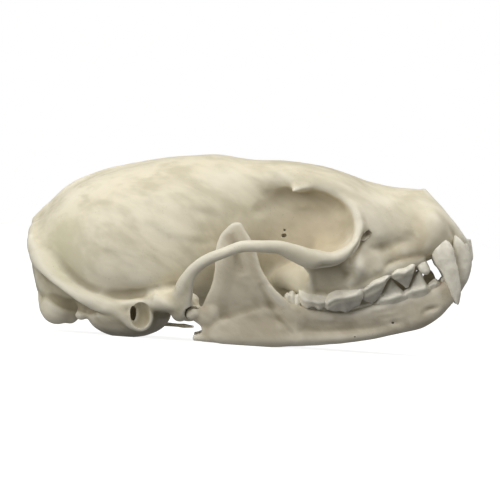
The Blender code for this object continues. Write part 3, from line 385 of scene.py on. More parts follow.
# Canines: x, y, z, half length, half width.
UPPER_CANINE = (
    (76.95, 6.1, 19.5, 0.3, 0.3), (76.9, 6.5, 19.25, 1.15, 0.9), (76.87, 6.8, 18.65, 1.75, 1.35),
    (76.9, 7.0, 17.6, 2.08, 1.6), (77.22, 7.2, 16.3, 2.02, 1.65), (77.9, 7.35, 14.8, 1.7, 1.5),
    (78.5, 7.5, 13.0, 1.44, 1.3), (79.05, 7.5, 11.1, 1.17, 1.05), (79.4, 7.5, 9.6, 0.86, 0.8),
    (79.6, 7.45, 8.4, 0.5, 0.5), (79.68, 7.4, 7.7, 0.12, 0.12),
)
LOWER_CANINE = (
    (77.6, 3.6, 8.4, 1.3, 1.15), (79.2, 4.2, 11.0, 1.45, 1.15), (80.4, 4.7, 13.2, 1.5, 1.05),
    (80.65, 5.0, 15.2, 1.7, 0.95), (80.3, 5.25, 17.2, 1.5, 0.85), (79.8, 5.45, 18.9, 1.05, 0.65),
    (79.2, 5.55, 20.5, 0.2, 0.2),
)

# Places where the fused forms run softly into each other: centre, radii.
SOCKET_WALLS = (((51.0, 5.6, 21.0), (9.0, 3.6, 8.0)),)
SOCKET_WALL_ROUNDS, BLEND_ROUNDS = 40, 36
BLENDS = (
    ((26.4, 16.6, 8.8), (4.4, 3.4, 2.2)),
    ((7.6, 5.6, 7.4), (3.0, 4.0, 3.0)),
    ((62.8, 12.4, 19.4), (1.6, 2.2, 2.6)),
    ((13.0, 15.6, 9.0), (5.0, 3.4, 3.6)),
    ((50.6, 9.4, 29.4), (3.4, 1.6, 1.4)),
    ((59.6, 10.6, 27.0), (3.4, 2.6, 2.6)),
    ((76.0, 4.6, 26.0), (3.4, 2.4, 3.4)),
    ((46.0, 5.4, 12.0), (6.0, 2.4, 3.0)),
)

# How far from a path it is felt, in its widths, and its steps: for each width, at least, at most.
REACH = 2.6
STEPS_PER_WIDTH, FEWEST_STEPS, MOST_STEPS = 4, 24, 240
# Lines on the bone, as x, y, z.
TEMPORAL_LINE = (
    (50.0, 11.6, 29.4), (47.6, 9.0, 31.8), (43.6, 7.0, 33.6), (38.0, 4.6, 35.0), (31.0, 2.0, 35.4),
)
CREST_GROOVE = ((4.4, 11.6, 18.6), (7.0, 14.0, 15.4), (10.4, 15.9, 12.2), (14.0, 16.6, 10.2))
NECK_RIDGE = ((2.0, 0.0, 19.0), (2.2, 0.0, 15.0), (3.0, 0.0, 12.0))
ORBIT_EDGE = ((46.0, 6.4, 15.2), (44.8, 6.6, 15.4), (43.4, 6.8, 14.8), (42.4, 6.9, 14.0))
CHIN_GROOVE = ((73.1, 7.0, 5.8), (73.9, 6.9, 6.7), (75.0, 6.6, 7.1), (76.4, 5.9, 7.2))

# Lines and outlines of the outer faces in the side view, as x and z: first the cranium's.
CREST_SIDE = (
    (0.2, 20.0), (0.6, 17.2), (2.6, 14.7), (5.2, 12.3), (7.6, 10.5), (10.0, 8.9), (13.4, 7.1),
    (16.4, 5.4), (16.4, 0.0), (-4.0, 0.0), (-4.0, 20.0),
)
GROOVE_OVER_EAR = (
    (5.4, 18.0), (7.4, 15.0), (10.0, 12.4), (12.8, 10.7), (15.6, 9.9), (18.6, 9.7), (21.4, 9.8),
    (24.0, 9.4),
)
EAR_ROOF = ((21.6, 8.9), (23.6, 8.5), (25.6, 7.6), (27.6, 6.4))
TEMPLE_STROKES = (
    ((21.8, 22.9), (23.4, 22.4), (25.0, 21.2), (27.0, 19.9)),
    ((26.0, 20.4), (29.0, 19.9), (32.0, 19.4), (35.0, 19.4)),
    ((30.0, 25.6), (32.4, 25.0), (34.8, 24.4), (37.4, 24.2)),
    ((14.6, 18.0), (16.8, 16.8), (19.0, 15.2), (21.2, 14.2)),
)
BROW_SHADE = ((44.4, 29.6), (45.6, 29.0), (47.4, 28.2), (50.7, 28.1), (54.4, 27.7), (57.2, 25.6))
CHEEK_HOLLOW = (
    (52.2, 14.0), (54.6, 15.6), (58.6, 15.6), (59.9, 13.6), (59.6, 10.6), (57.4, 9.4), (53.0, 9.4),
)
RIM_CREASE = ((63.6, 21.6), (62.6, 20.2), (61.3, 18.2), (60.2, 16.4), (59.8, 15.0))
MUZZLE_GROOVE = ((62.9, 20.4), (64.6, 18.4), (67.2, 19.0), (69.8, 20.0), (72.0, 20.9))
# The bone that bears the upper teeth.
UPPER_SOCKETS = ((64.8, 15.4), (67.0, 16.0), (69.0, 17.2), (71.4, 17.6), (73.0, 18.0))
# The lower jaw's lines.
JAW_BORDER = ((33.5, 1.9), (40.0, 1.3), (46.0, 1.1), (52.0, 1.3), (60.0, 1.8), (66.0, 2.6), (70.0, 3.6))
JAW_GROOVE = ((50.0, 3.6), (56.0, 3.2), (62.0, 3.4), (67.0, 3.8), (71.0, 4.6))
JAW_LINES = (
    ((63.4, 6.2), (65.2, 6.3), (66.8, 6.7), (68.8, 7.1)),
    ((64.6, 5.4), (66.4, 5.4), (68.2, 5.7), (69.8, 6.3)),
    ((53.0, 4.8), (55.0, 4.4), (57.4, 4.5)),
)
MUSCLE_GROOVE = ((43.0, 11.6), (45.1, 8.1), (46.9, 5.6), (48.6, 3.4), (50.2, 1.6))
MUSCLE_RIDGE = ((44.8, 11.4), (47.0, 8.2), (49.4, 6.0), (51.6, 4.0))
PLATE_HOLLOW = ((37.9, 21.0), (38.4, 19.4), (39.3, 16.8), (40.4, 13.2))
GUM_RIDGE = ((50.5, 6.6), (54.0, 6.2), (59.0, 6.0), (64.0, 7.0), (68.0, 8.2), (72.0, 9.3))
# The bone that bears the lower teeth.
LOWER_SOCKETS = ((62.0, 6.7), (66.0, 7.4), (69.0, 8.2), (72.0, 9.2), (75.0, 10.0), (77.0, 9.8))

# Relief of the cranium. Lines: height, path, width. Spots: height, centre, radii.
CRANIUM_LINES = (
    (0.16, TEMPORAL_LINE, 0.8), (-0.12, CREST_GROOVE, 1.8), (0.5, NECK_RIDGE, 0.9),
    (-0.35, ORBIT_EDGE, 0.5),
)
CRANIUM_SPOTS = (
    (-1.0, (46.2, 8.8, 28.4), (2.8, 3.0, 2.0)),
    (0.3, (21.8, 16.0, 11.9), (3.4, 3.0, 1.1)),
    (0.35, (74.6, 8.4, 20.0), (2.4, 2.0, 3.0)),
    (-0.45, (70.2, 9.0, 22.6), (3.0, 2.4, 2.6)),
    (0.3, (61.2, 12.6, 14.0), (1.2, 2.0, 1.8)),
    (-0.4, (64.4, 12.0, 15.6), (1.8, 2.4, 1.8)),
    (0.2, (66.4, 10.4, 14.2), (1.9, 2.0, 1.4)),
    (0.3, (70.0, 9.0, 17.4), (1.9, 2.0, 1.6)),
    (-0.3, (64.6, 10.6, 18.6), (3.4, 2.4, 2.4)),
    (-0.3, (56.0, 14.0, 13.4), (3.4, 3.0, 1.9)),
    (-0.3, (66.8, 10.4, 18.2), (3.0, 2.4, 1.7)),
    (0.22, (60.0, 13.4, 11.9), (1.5, 2.0, 0.9)),
)
# Grooves of the outer face: height, path, width, and the distance from the midline where each starts and
# where it is full.
CRANIUM_GROOVES = (
    (-0.5, GROOVE_OVER_EAR, 1.1, 12.0, 14.0), (-0.4, MUZZLE_GROOVE, 1.5, 6.0, 8.0),
    (-0.4, RIM_CREASE, 0.6, 8.0, 10.0),
)
TEMPLE_MARKS = tuple((-0.12, stroke, 0.8) for stroke in TEMPLE_STROKES)
# The flare beside the crest: how high and wide its ramp is and how deep the drop behind it, how far behind
# the crest's edge the drop starts and ends and the ramp ends, the height and the distance from the midline
# where the flare starts, and where it ends along X.
CREST_RAMP, CREST_RAMP_WIDTH, CREST_DROP = 0.6, 1.2, 1.5
DROP_START, DROP_END, RAMP_END = (0.0, 0.6), (1.8, 4.0), (0.4, 1.6)
FLARE_HEIGHT, FLARE_OUT, FLARE_END = (5.6, 7.4), (6.5, 9.5), (15.0, 18.0)
CHEEK_DEPTH, CHEEK_EDGE, CHEEK_SHADE_EDGE = 0.45, (-0.5, 1.1), (-0.5, 0.9)
# How far a face looks outwards, as its normal's share, where a form starts and where it is full.
FACING_OUT, HOLLOW_FACING, JAW_FACING = (0.1, 0.5), (0.1, 0.6), (0.0, 0.5)
# Distances from the midline at which forms start and are full, then at which they start to end and are gone.
CHEEK_OUT, TEMPLE_OUT, LATERAL, HOLLOW_OUT = (10.5, 12.0), (10.0, 12.0), (9.0, 10.5), (12.0, 13.5)
BROW_OUT, BROW_IN, ARCH_IN = (4.0, 5.5), (8.6, 10.6), (17.0, 18.5)
# Along X and in height: where the bone over the roots of the upper teeth starts and ends, and where that of
# the lower teeth, the jaw's blotches and the painted shade behind the crest start.
UPPER_ROOTS_X, UPPER_ROOTS_Z = (58, 62), (18, 23)
LOWER_ROOTS_X, LOWER_ROOTS_Z, LOWER_BLOTCHES_X = (50, 56), (3.0, 6.0), (50, 54)
CREST_SHADE_Z = (5.0, 14.0)
TEMPLE = ((24.0, 16.0, 20.0), (13.0, 7.0, 10.0))
# Unevenness: height, size, seed. The temple's is drawn out in strokes along the chewing muscle.
CRANIUM_UNEVEN = ((0.055, 5.0, 1), (0.03, 2.2, 2), (0.012, 0.9, 3))
TEMPLE_UNEVEN = ((0.16, 2.6, 4), (0.06, 1.3, 5))
UPPER_SOCKETS_UNEVEN = ((0.13, 2.8, 6), (0.07, 1.3, 7))
JAW_UNEVEN = ((0.06, 4.0, 11), (0.03, 1.8, 12))
LOWER_SOCKETS_UNEVEN = ((0.12, 2.6, 13), (0.06, 1.1, 14))
TOOTH_UNEVEN = ((0.06, 1.1, 21), (0.03, 0.6, 22))
# Noise read at points turned by this runs in strokes along the chewing muscle, forwards and down.
STROKE_SLOPE_DEG = 28.0
MUSCLE_DRIFT = np.array(Matrix.Rotation(math.radians(STROKE_SLOPE_DEG), 3, "Y")) @ np.diag((0.3, 1.0, 1.0))

# Relief of the jaw: height, path, width. Its chin groove and the hollow round its hole follow the surface.
JAW_RELIEF = (
    (-0.6, JAW_GROOVE, 1.3), (0.5, JAW_BORDER, 1.2), (0.35, GUM_RIDGE, 0.9),
    *((-0.16, line, 0.3) for line in JAW_LINES),
    (-0.45, PLATE_HOLLOW, 1.0), (-0.45, MUSCLE_GROOVE, 0.8), (0.35, MUSCLE_RIDGE, 1.0),
    (0.2, LOWER_SOCKETS, 1.0),
)
CHIN_DEPTH, CHIN_WIDTH = 0.6, 0.4
ROUND_JAW_HOLE = ((-0.3, (68.1, 8.0, 4.5), (0.8, 1.6, 0.5)),)

# Tints, read by the materials: strength, centre, radii, or strength, path, width.
WARM_SPOTS = (
    (1.0, (54.0, 9.0, 20.0), (7.0, 7.0, 6.5)),
    (0.7, (75.0, 8.0, 21.0), (4.6, 4.0, 4.0)),
    (0.8, (71.0, 8.5, 17.0), (4.0, 3.0, 1.8)),
)
OLIVE_SPOTS = ((1.0, (7.0, 12.0, 17.0), (3.4, 9.0, 8.0)),)
# Painted shade: darker under the skull's base and ear capsules, on the capsule's shaded front side, and in
# dark spots on the muzzle's side.
SHADE_AND_GRIME_SPOTS = (
    (1.4, (18.6, 10.0, 1.6), (10.0, 7.0, 3.4)),
    (0.8, (25.2, 13.4, 5.2), (2.2, 3.4, 2.6)),
    (0.25, (71.6, 8.5, 17.2), (2.4, 3.0, 0.9)),
    (0.5, (65.2, 10.5, 18.4), (1.8, 3.0, 0.8)),
    (0.4, (69.6, 9.5, 19.7), (2.4, 3.0, 0.6)),
    (0.35, (70.9, 9.0, 20.9), (1.2, 3.0, 0.8)),
)
# Painted shade along the crease by the infraorbital slot, under the ear opening's roof and in the groove
# over the ear, and dark streaks on the temple.
SHADE_AND_STREAK_LINES = (
    (0.45, RIM_CREASE, 0.6), (0.5, EAR_ROOF, 0.7), (0.12, GROOVE_OVER_EAR, 0.9),
    *((0.2, stroke, 0.7) for stroke in TEMPLE_STROKES),
)
# Painted shade in the hollow under the arch's front root, behind the crest's edge and under the brow; random
# darker blotches on the muzzle.
CHEEK_SHADE, CREST_SHADE, BROW_SHADE_AMOUNT, BLOTCH_GRIME = 0.38, 0.3, 0.4, 0.42
GRIME_BLOTCHES = ((67.0, 10.0, 18.0), (8.0, 6.0, 5.0))
# Painted light: pale patches on the lit bumps by the arch's front root, broken up into spots.
SPOTTY_PAINTED_LIGHT = (
    (1.0, (61.4, 13.5, 15.2), (1.5, 3.0, 1.8)),
    (1.0, (64.0, 11.5, 13.2), (1.7, 3.0, 0.9)),
    (1.0, (59.3, 12.5, 11.2), (1.2, 3.0, 0.8)),
)
# Painted light and paler bone: brighter on the nose's front, the face above the cheek and the shelf over the
# ear.
LIT_AND_PALE_SPOTS = (
    (1.0, (81.0, 4.0, 22.0), (3.6, 6.0, 5.0)),
    (0.6, (64.5, 11.0, 22.5), (3.5, 3.0, 4.0)),
    (0.8, (21.6, 14.5, 11.6), (4.4, 3.4, 1.4)),
)
# Painted light on the braincase wall that the arch shades.
BEHIND_ARCH = ((31.4, 12.5, 11.6), (3.6, 4.5, 4.2))
# Painted shade on the jaw's upright plate and in its muscle hollow; random darker blotches on the
# tooth-bearing part.
PLATE_SHADE, HOLLOW_SHADE, JAW_BLOTCH_GRIME = 0.18, 0.12, 0.28
JAW_WARM_SPOTS = ((1.0, (76.6, 5.4, 12.2), (0.9, 2.4, 1.5)),)
# Painted shadow on the jaw where the upper teeth and the arch cast shade.
JAW_SHADE_SPOTS = (
    (0.2, (60.0, 9.0, 5.8), (9.0, 5.0, 2.6)),
    (0.3, (54.6, 12.4, 4.9), (4.6, 3.0, 1.3)),
    (0.28, (38.0, 16.5, 5.4), (8.0, 4.0, 5.0)),
)


def eased(table, places):
    """Rows of the table at these places, on a smooth curve through its rows that never overshoots them."""
    table = np.array(table, float)
    where, values = table[:, 0], table[:, 1:]
    steps = np.diff(where)[:, None]
    slopes = np.diff(values, axis=0) / steps
    before, after = slopes[:-1], slopes[1:]
    same_way = before * after > 0
    safe = np.where(same_way, before + after, 1.0)
    inner = np.where(same_way, 2 * before * after / safe, 0.0)
    tangents = np.vstack([slopes[:1], inner, slopes[-1:]])
    k = np.clip(np.searchsorted(where, places) - 1, 0, len(where) - 2)
    t = ((places - where[k])[:, None]) / steps[k]
    rise = values[k + 1] - values[k]
    start, end = tangents[k] * steps[k], tangents[k + 1] * steps[k]
    return values[k] + start * t + (3 * rise - 2 * start - end) * t**2 + (start + end - 2 * rise) * t**3


def along(table, count):
    """The table's rows read at equal steps of path length, on a smooth curve through them."""
    table = np.array(table, float)
    gone = np.concatenate([[0], np.cumsum(np.linalg.norm(np.diff(table[:, :3], axis=0), axis=1))])
    return eased(np.column_stack([gone, table]), np.linspace(0, gone[-1], count))


def columns(table, count):
    """Equal steps along the table's first column, and its other columns there, each upright."""
    places = np.linspace(table[0][0], table[-1][0], count)
    return places[:, None], *eased(table, places).T[:, :, None]


def turn(sides):
    """Angles once round, as a row."""
    return np.linspace(0, 2 * math.pi, sides, endpoint=False)[None, :]


def rounded(wave, power):
    """A sine or cosine bent so that a circle of it becomes a superellipse: sign(w) * |w| ** (2 / power)."""
    return np.sign(wave) * np.abs(wave) ** (2 / power)


def unit(rows):
    """Each row brought to length 1."""
    return rows / np.linalg.norm(rows, axis=1)[:, None]


def skin(rings):
    """Points and faces of a closed surface over rings of equal point counts: quads between neighbouring
    rings, and at each end a fan of triangles to the ring's middle."""
    stations, sides = rings.shape[:2]
    points = np.vstack([rings.reshape(-1, 3), rings[0].mean(axis=0), rings[-1].mean(axis=0)])
    near = np.arange((stations - 1) * sides)
    beside = near + 1 - sides * ((near + 1) % sides == 0)
    rim = np.arange(sides)
    following, last, pole = (rim + 1) % sides, (stations - 1) * sides, stations * sides
    return points, [
        np.stack([near, beside, beside + sides, near + sides], axis=1),
        np.stack([following, rim, np.full(sides, pole)], axis=1),
        np.stack([last + rim, last + following, np.full(sides, pole + 1)], axis=1),
    ]


def sections(x, y, z):
    """A closed surface over rings given by their coordinates."""
    return skin(np.stack(np.broadcast_arrays(x, y, z), axis=-1))


def loft(table, power=2.3, stations=90, sides=96):
    """Superellipses across X: y = half width * cos, z = widest line + sin * (top or bottom - widest line),
    with both waves bent by the power."""
    x, width, top, widest, bottom = columns(table, stations)
    out, up = rounded(np.cos(turn(sides)), power), rounded(np.sin(turn(sides)), power)
    return sections(x, width * out, widest + np.where(up > 0, up * (top - widest), up * (widest - bottom)))


def beam(table, power=2.4, stations=120, sides=48):
    """Superellipses across X round a middle line: y = middle + half thickness * cos, z bottom to top."""
    x, middle, thick, top, bottom = columns(table, stations)
    out, up = rounded(np.cos(turn(sides)), power), rounded(np.sin(turn(sides)), power)
    return sections(x, middle + thick * out, (top + bottom) / 2 + up * (top - bottom) / 2)


def plate(table, stations=80, sides=96):
    """Flat ellipses stacked in height: x and y go from the back edge to the front edge with (1 + cos) / 2,
    and y moves out by the half thickness times sin to a power that keeps the plate even."""
    z, back_x, back_y, front_x, front_y, thick = columns(table[::-1], stations)
    share = (1 + np.cos(turn(sides))) / 2
    y = back_y + (front_y - back_y) * share + thick * rounded(np.sin(turn(sides)), PLATE_POWER)
    return sections(back_x + (front_x - back_x) * share, y, z)


def swept(path, first, second, sides):
    """Ellipses along a path: path + cos * first half axis + sin * second half axis."""
    cos, sin = np.cos(turn(sides))[..., None], np.sin(turn(sides))[..., None]
    return skin(path[:, None] + cos * first[:, None] + sin * second[:, None])


def bar(table, stations=60, sides=28):
    """Ellipses along a path: the half thickness lies level beside the path, and the half height stands in
    the path's upright plane."""
    rows = along(table, stations)
    tangent = unit(np.gradient(rows[:, :3], axis=0))
    across = np.cross(tangent, (0.0, 0.0, 1.0))
    upright = np.linalg.norm(across, axis=1) < 0.2
    across[upright] = np.cross(tangent[upright], (1.0, 0.0, 0.0))
    across = unit(across)
    across *= np.sign(across @ across[len(across) // 2])[:, None]
    return swept(rows[:, :3], rows[:, 4:] * across, rows[:, 3:4] * np.cross(across, tangent), sides)


def canine(table, stations=60, sides=48):
    """A long curved tooth: ellipses across its path, long in the side view and narrow across."""
    rows = along(table, stations)
    tangent = unit(np.gradient(rows[:, :3], axis=0))
    fore = unit(np.cross((0.0, 1.0, 0.0), tangent))
    return swept(rows[:, :3], rows[:, 3:4] * fore, rows[:, 4:] * np.cross(tangent, fore), sides)


def lump(centre, radii, slope_deg=0.0, stations=32, sides=48):
    """An ellipsoid: centre + radii * (cos f cos a, cos f sin a, sin f), tipped about Y by the slope."""
    f = np.linspace(-math.pi / 2, math.pi / 2, stations + 2)[1:-1, None]
    a = turn(sides)
    ball = np.stack([np.cos(f) * np.cos(a), np.cos(f) * np.sin(a), np.sin(f) + 0 * a], axis=-1)
    tip = np.array(Matrix.Rotation(math.radians(slope_deg), 3, "Y"))
    return skin(np.array(centre) + (ball * radii) @ tip.T)


def drum(start, end, radii, stations=2, sides=48):
    """A straight tube of ellipses between two points, its radii along X and Z."""
    share = np.linspace(0, 1, stations)[:, None, None]
    a = turn(sides)
    ring = np.stack([radii[0] * np.cos(a), 0 * a, radii[1] * np.sin(a)], axis=-1)
    return skin(np.array(start) * (1 - share) + np.array(end) * share + ring)


def bladed(table, stations=56):
    """A tooth with an edge: across X the half width times a profile that swells to a band by the gum and
    draws in to a rounded edge, up one side and down the other, closed by a root on the gum's far side."""
    x, middle, width, gum, edge = columns(table, stations)
    level, swell = np.array(BLADE_PROFILE).T
    out = np.concatenate([swell, -swell[-2::-1]])[None, :]
    up = np.concatenate([level, level[-2::-1]])[None, :]
    tall = np.abs(edge - gum)
    band = np.minimum(BAND_HEIGHT, BAND_OF_LOW_CROWN * tall)
    crown = np.maximum(up - BAND_SHARE, 0) / (1 - BAND_SHARE) * (tall - band)
    height = np.where(up > 0, np.clip(up / BAND_SHARE, 0, 1) * band + crown, up * BLADE_ROOT)
    return sections(x, middle + width * out, gum + np.sign(edge - gum) * height)


def cusp(row, stations=18, sides=28):
    """A rounded cusp: ellipses from a root sunk in the bone to the tip, narrowing by 1 - f ** roundness."""
    gum, tip = np.array(row[:3]), np.array(row[3:6])
    length, width, roundness = row[6:]
    axis = (tip - gum) / np.linalg.norm(tip - gum)
    share = np.linspace(0, 1, stations)[:, None]
    centres = np.vstack([gum - TOOTH_ROOT * axis, gum + (tip - gum) * share])
    scale = np.vstack([[ROOT_SHARE], np.maximum(1 - share**roundness, TIP_SHARE)])
    angle = turn(sides)[0]
    ring = np.stack([length * np.cos(angle), width * np.sin(angle), 0 * angle], axis=-1)
    return skin(centres[:, None] + scale[:, :, None] * ring[None])


def mirrored(shape):
    """The same surface on the animal's right."""
    points, faces = shape
    return points * (1, -1, 1), [group[:, ::-1] for group in faces]


def paired(shapes):
    """The surfaces and their mirror images."""
    return [*shapes, *(mirrored(shape) for shape in shapes)]


def stepped(shapes):
    """The surfaces on the animal's left a step further forward, and their mirror images in place."""
    moved = [(points + (LEFT_STEP, 0, 0), faces) for points, faces in shapes]
    return [*moved, *(mirrored(shape) for shape in shapes)]


def linked(name, data):
    """A new object over this data, in the scene."""
    thing = bpy.data.objects.new(name, data)
    bpy.context.scene.collection.objects.link(thing)
    return thing


def turned_out(mesh):
    """Turns the faces of closed surfaces outwards."""
    shape = bmesh.new()
    shape.from_mesh(mesh)
    bmesh.ops.recalc_face_normals(shape, faces=shape.faces)
    shape.to_mesh(mesh)
    shape.free()


def built(name, shapes):
    """One object over these surfaces, still in millimetres."""
    starts = np.cumsum([0, *(len(points) for points, _ in shapes)])
    faces = [(group + start).tolist() for (_, groups), start in zip(shapes, starts) for group in groups]
    mesh = bpy.data.meshes.new(name)
    mesh.from_pydata(np.vstack([points for points, _ in shapes]).tolist(), [], sum(faces, []))
    turned_out(mesh)
    return linked(name, mesh)


def settled(thing):
    """Applies the object's modifiers to its mesh."""
    graph = bpy.context.evaluated_depsgraph_get()
    mesh = bpy.data.meshes.new_from_object(thing.evaluated_get(graph))
    thing.modifiers.clear()
    thing.data = mesh


def cut(thing, shapes):
    """Takes these closed surfaces out of the object."""
    group = bpy.data.collections.new("cutters")
    bpy.context.scene.collection.children.link(group)
    cutters = [built("cutter", [shape]) for shape in shapes]
    for cutter in cutters:
        bpy.context.scene.collection.objects.unlink(cutter)
        group.objects.link(cutter)
    step = thing.modifiers.new("Cut", "BOOLEAN")
    step.operand_type = "COLLECTION"
    step.collection = group
    step.operation = "DIFFERENCE"
    step.solver = "MANIFOLD"
    settled(thing)
    for cutter in cutters:
        bpy.data.objects.remove(cutter)
    bpy.data.collections.remove(group)


def read(layer, name, width, kind=float):
    """All the values of a mesh layer, a row for each of its items."""
    flat = np.empty(width * len(layer), kind)
    layer.foreach_get(name, flat)
    return flat.reshape(-1, width)


def points_of(thing):
    """The corners of the object's mesh."""
    return read(thing.data.vertices, "co", 3)


def normals_of(thing):
    """The directions in which the corners of the mesh face."""
    return read(thing.data.vertex_normals, "vector", 3)


def edges_of(thing):
    """Pairs of corners that share an edge."""
    return read(thing.data.edges, "vertices", 2, int)


def move_points(thing, points):
    """Puts the corners of the mesh at new places."""
    thing.data.vertices.foreach_set("co", np.ascontiguousarray(points, np.float32).ravel())
    thing.data.update()


def relaxed(points, edges, rounds, share=0.5):
    """Moves each point its share of the way to the mean of its neighbours, round after round."""
    here, there = edges.T.ravel(), edges[:, ::-1].T.ravel()
    count = np.bincount(here, minlength=len(points))[:, None]
    share = np.broadcast_to(share, (len(points),))[:, None]
    for _ in range(rounds):
        total = np.stack([np.bincount(here, points[there, k], len(points)) for k in range(3)], axis=1)
        points = points + share * (total / count - points)
    return points


def largest_only(thing):
    """Drops all but the largest of the object's separate surfaces."""
    edges = edges_of(thing)
    label = np.arange(len(thing.data.vertices))
    while True:
        low = np.minimum(label[edges[:, 0]], label[edges[:, 1]])
        before = label.copy()
        np.minimum.at(label, edges[:, 0], low)
        np.minimum.at(label, edges[:, 1], low)
        label = label[label]
        if (label == before).all():
            break
    keep = np.bincount(label).argmax()
    shape = bmesh.new()
    shape.from_mesh(thing.data)
    shape.verts.ensure_lookup_table()
    bmesh.ops.delete(shape, geom=[shape.verts[k] for k in np.flatnonzero(label != keep)], context="VERTS")
    shape.to_mesh(thing.data)
    shape.free()


def fused(thing, grain, rounds):
    """Blends overlapping closed surfaces into one rounded skin: an even remesh, then relaxing."""
    step = thing.modifiers.new("Even", "REMESH")
    step.mode = "VOXEL"
    step.voxel_size = grain
    step.use_smooth_shade = True
    settled(thing)
    move_points(thing, relaxed(points_of(thing), edges_of(thing), rounds))
    return thing


def joined(name, thing, shapes):
    """One object from a finished mesh and more closed surfaces. The first object is removed."""
    both = built(name, shapes)
    shape = bmesh.new()
    shape.from_mesh(both.data)
    shape.from_mesh(thing.data)
    shape.to_mesh(both.data)
    shape.free()
    bpy.data.objects.remove(thing)
    both.name = name
    return both


def folded(points):
    """The points with both sides of the skull laid on its left."""
    return np.abs(points) * (0, 1, 0) + points * (1, 0, 1)


def near_path(points, path, width):
    """How much each point belongs to a path: exp(-(distance / width) ** 2), fading at both its ends."""
    length = np.linalg.norm(np.diff(np.array(path), axis=0), axis=1).sum()
    count = int(np.clip(STEPS_PER_WIDTH * length / width, FEWEST_STEPS, MOST_STEPS))
    line = along(path, count)
    fade = np.sin(np.linspace(0, math.pi, count)) ** 0.5
    share = np.zeros(len(points))
    low, high = line.min(axis=0) - REACH * width, line.max(axis=0) + REACH * width
    close = np.flatnonzero(((points > low) & (points < high)).all(axis=1))
    away = ((points[close, None] - line[None]) ** 2).sum(axis=-1)
    nearest = away.argmin(axis=1)
    share[close] = np.exp(-away[np.arange(len(close)), nearest] / width**2) * fade[nearest]
    return share


def near_point(points, centre, radii):
    """How much each point belongs to a place: exp(-distance ** 2), measured in its radii."""
    return np.exp(-(((points - centre) / radii) ** 2).sum(axis=1))


def inside(places, outline):
    """Distance of each (x, z) from a closed outline, positive inside it: the least distance to its sides,
    with its sign from how many sides a level ray crosses."""
    a = np.array(outline)
    b = np.roll(a, -1, axis=0)
    away, side = places[:, None] - a, b - a
    t = np.clip((away * side).sum(axis=-1) / (side**2).sum(axis=-1), 0, 1)
    distance = np.linalg.norm(away - t[..., None] * side, axis=-1).min(axis=1)
    spans = (a[:, 1] > places[:, 1:]) != (b[:, 1] > places[:, 1:])
    level = a[:, 0] + side[:, 0] * (places[:, 1:] - a[:, 1]) / np.where(side[:, 1] == 0, 1e-9, side[:, 1])
    crossed = (spans & (places[:, :1] < level)).sum(axis=1) % 2 == 1
    return np.where(crossed, distance, -distance)


def step_up(value, start, end):
    """A smooth rise from 0 at the start to 1 at the end."""
    t = np.clip((value - start) / (end - start), 0, 1)
    return t * t * (3 - 2 * t)


def uneven(points, size, seed):
    """Smooth random values from -1 to 1: a seeded lattice of random numbers this size apart, blended by
    cubic steps between its corners."""
    cells = 32
    lattice = np.random.default_rng(seed).uniform(-1, 1, (cells, cells, cells))
    place = points / size + cells
    base = np.floor(place).astype(int)
    part = step_up(place - base, 0, 1)
    total = np.zeros(len(points))
    for way in np.ndindex(2, 2, 2):
        cell = (base + way) % cells
        total += np.where(way, part, 1 - part).prod(axis=1) * lattice[tuple(cell.T)]
    return total


def marked(points, marks, near=near_point):
    """The sum of strength * nearness over marks of a strength, a place and its size."""
    return sum(strength * near(points, place, size) for strength, place, size in marks)


def noisy(points, scales):
    """The sum of unevenness over rows of height, size and seed."""
    return sum(height * uneven(points, size, seed) for height, size, seed in scales)


def spotty(points, size, seed):
    """Soft spots, from 0.2 between them to 1 in them."""
    return 0.6 + 0.4 * uneven(points, size, seed)


def placed(thing):
    """Tips the finished object to its rest pose, in metres, and keeps it within the frame's box."""
    tilt = np.array(Matrix.Rotation(math.radians(-REST_TILT_DEG), 3, "Y"))
    points = (points_of(thing) @ tilt.T + REST_SHIFT) * MM
    move_points(thing, np.clip(points, np.array(cad_low), np.array(cad_high)))
    return thing


def smooth_shaded(thing, sharp_deg=55.0):
    """Shades the object smooth, apart from folds sharper than this."""
    thing.data.shade_smooth()
    thing.data.set_sharp_from_angle(angle=math.radians(sharp_deg))
    return thing


def thinned(thing, most=MOST_TRIANGLES):
    """Keeps the object under this many triangles."""
    count = sum(len(face.vertices) - 2 for face in thing.data.polygons)
    if count > most:
        step = thing.modifiers.new("Fewer", "DECIMATE")
        step.ratio = most / count
        settled(thing)
    return thing


def tinted(thing, name, value, least=0.0):
    """Writes a value up to 1 at each corner, for the material to read."""
    layer = thing.data.attributes.new(name, "FLOAT", "POINT")
    layer.data.foreach_set("value", np.clip(value, least, 1).astype(np.float32))


# The materials paint stain and shade into the hollows, and lighten the ridges, by these values.
def hollows_measured(thing):
    """Writes how hollow the bone is at each corner, from -1 on ridges to 1 in recesses: how far the relaxed
    surface stands out from the real one, at a fine and a broad scale."""
    points, normals, edges = points_of(thing), normals_of(thing), edges_of(thing)
    for name, rounds, scale in (("fine_hollow", 6, 0.05), ("broad_hollow", 60, 0.5)):
        value = ((relaxed(points, edges, rounds) - points) * normals).sum(axis=1)
        value = relaxed(np.column_stack([value] * 3), edges, 2)[:, 0]
        tinted(thing, name, value / scale, -1.0)


def softened(thing, places, rounds):
    """Relaxes the mesh further round these places, on both sides."""
    points = points_of(thing)
    share = 0.5 * np.clip(sum(near_point(folded(points), *place) for place in places), 0, 1)
    move_points(thing, relaxed(points, edges_of(thing), rounds, share))


def crest_flare(flat):
    """How far the bone stands out beside the crest's edge: a ramp up to the edge, a drop right behind it,
    and back to nothing further on."""
    behind = inside(flat, CREST_SIDE)
    ramp = CREST_RAMP * np.exp(-((np.maximum(-behind, 0) / CREST_RAMP_WIDTH) ** 2))
    drop = CREST_DROP * step_up(behind, *DROP_START) * (1 - step_up(behind, *DROP_END))
    return (ramp * (1 - step_up(behind, *RAMP_END)) - drop) * step_up(flat[:, 1], *FLARE_HEIGHT)


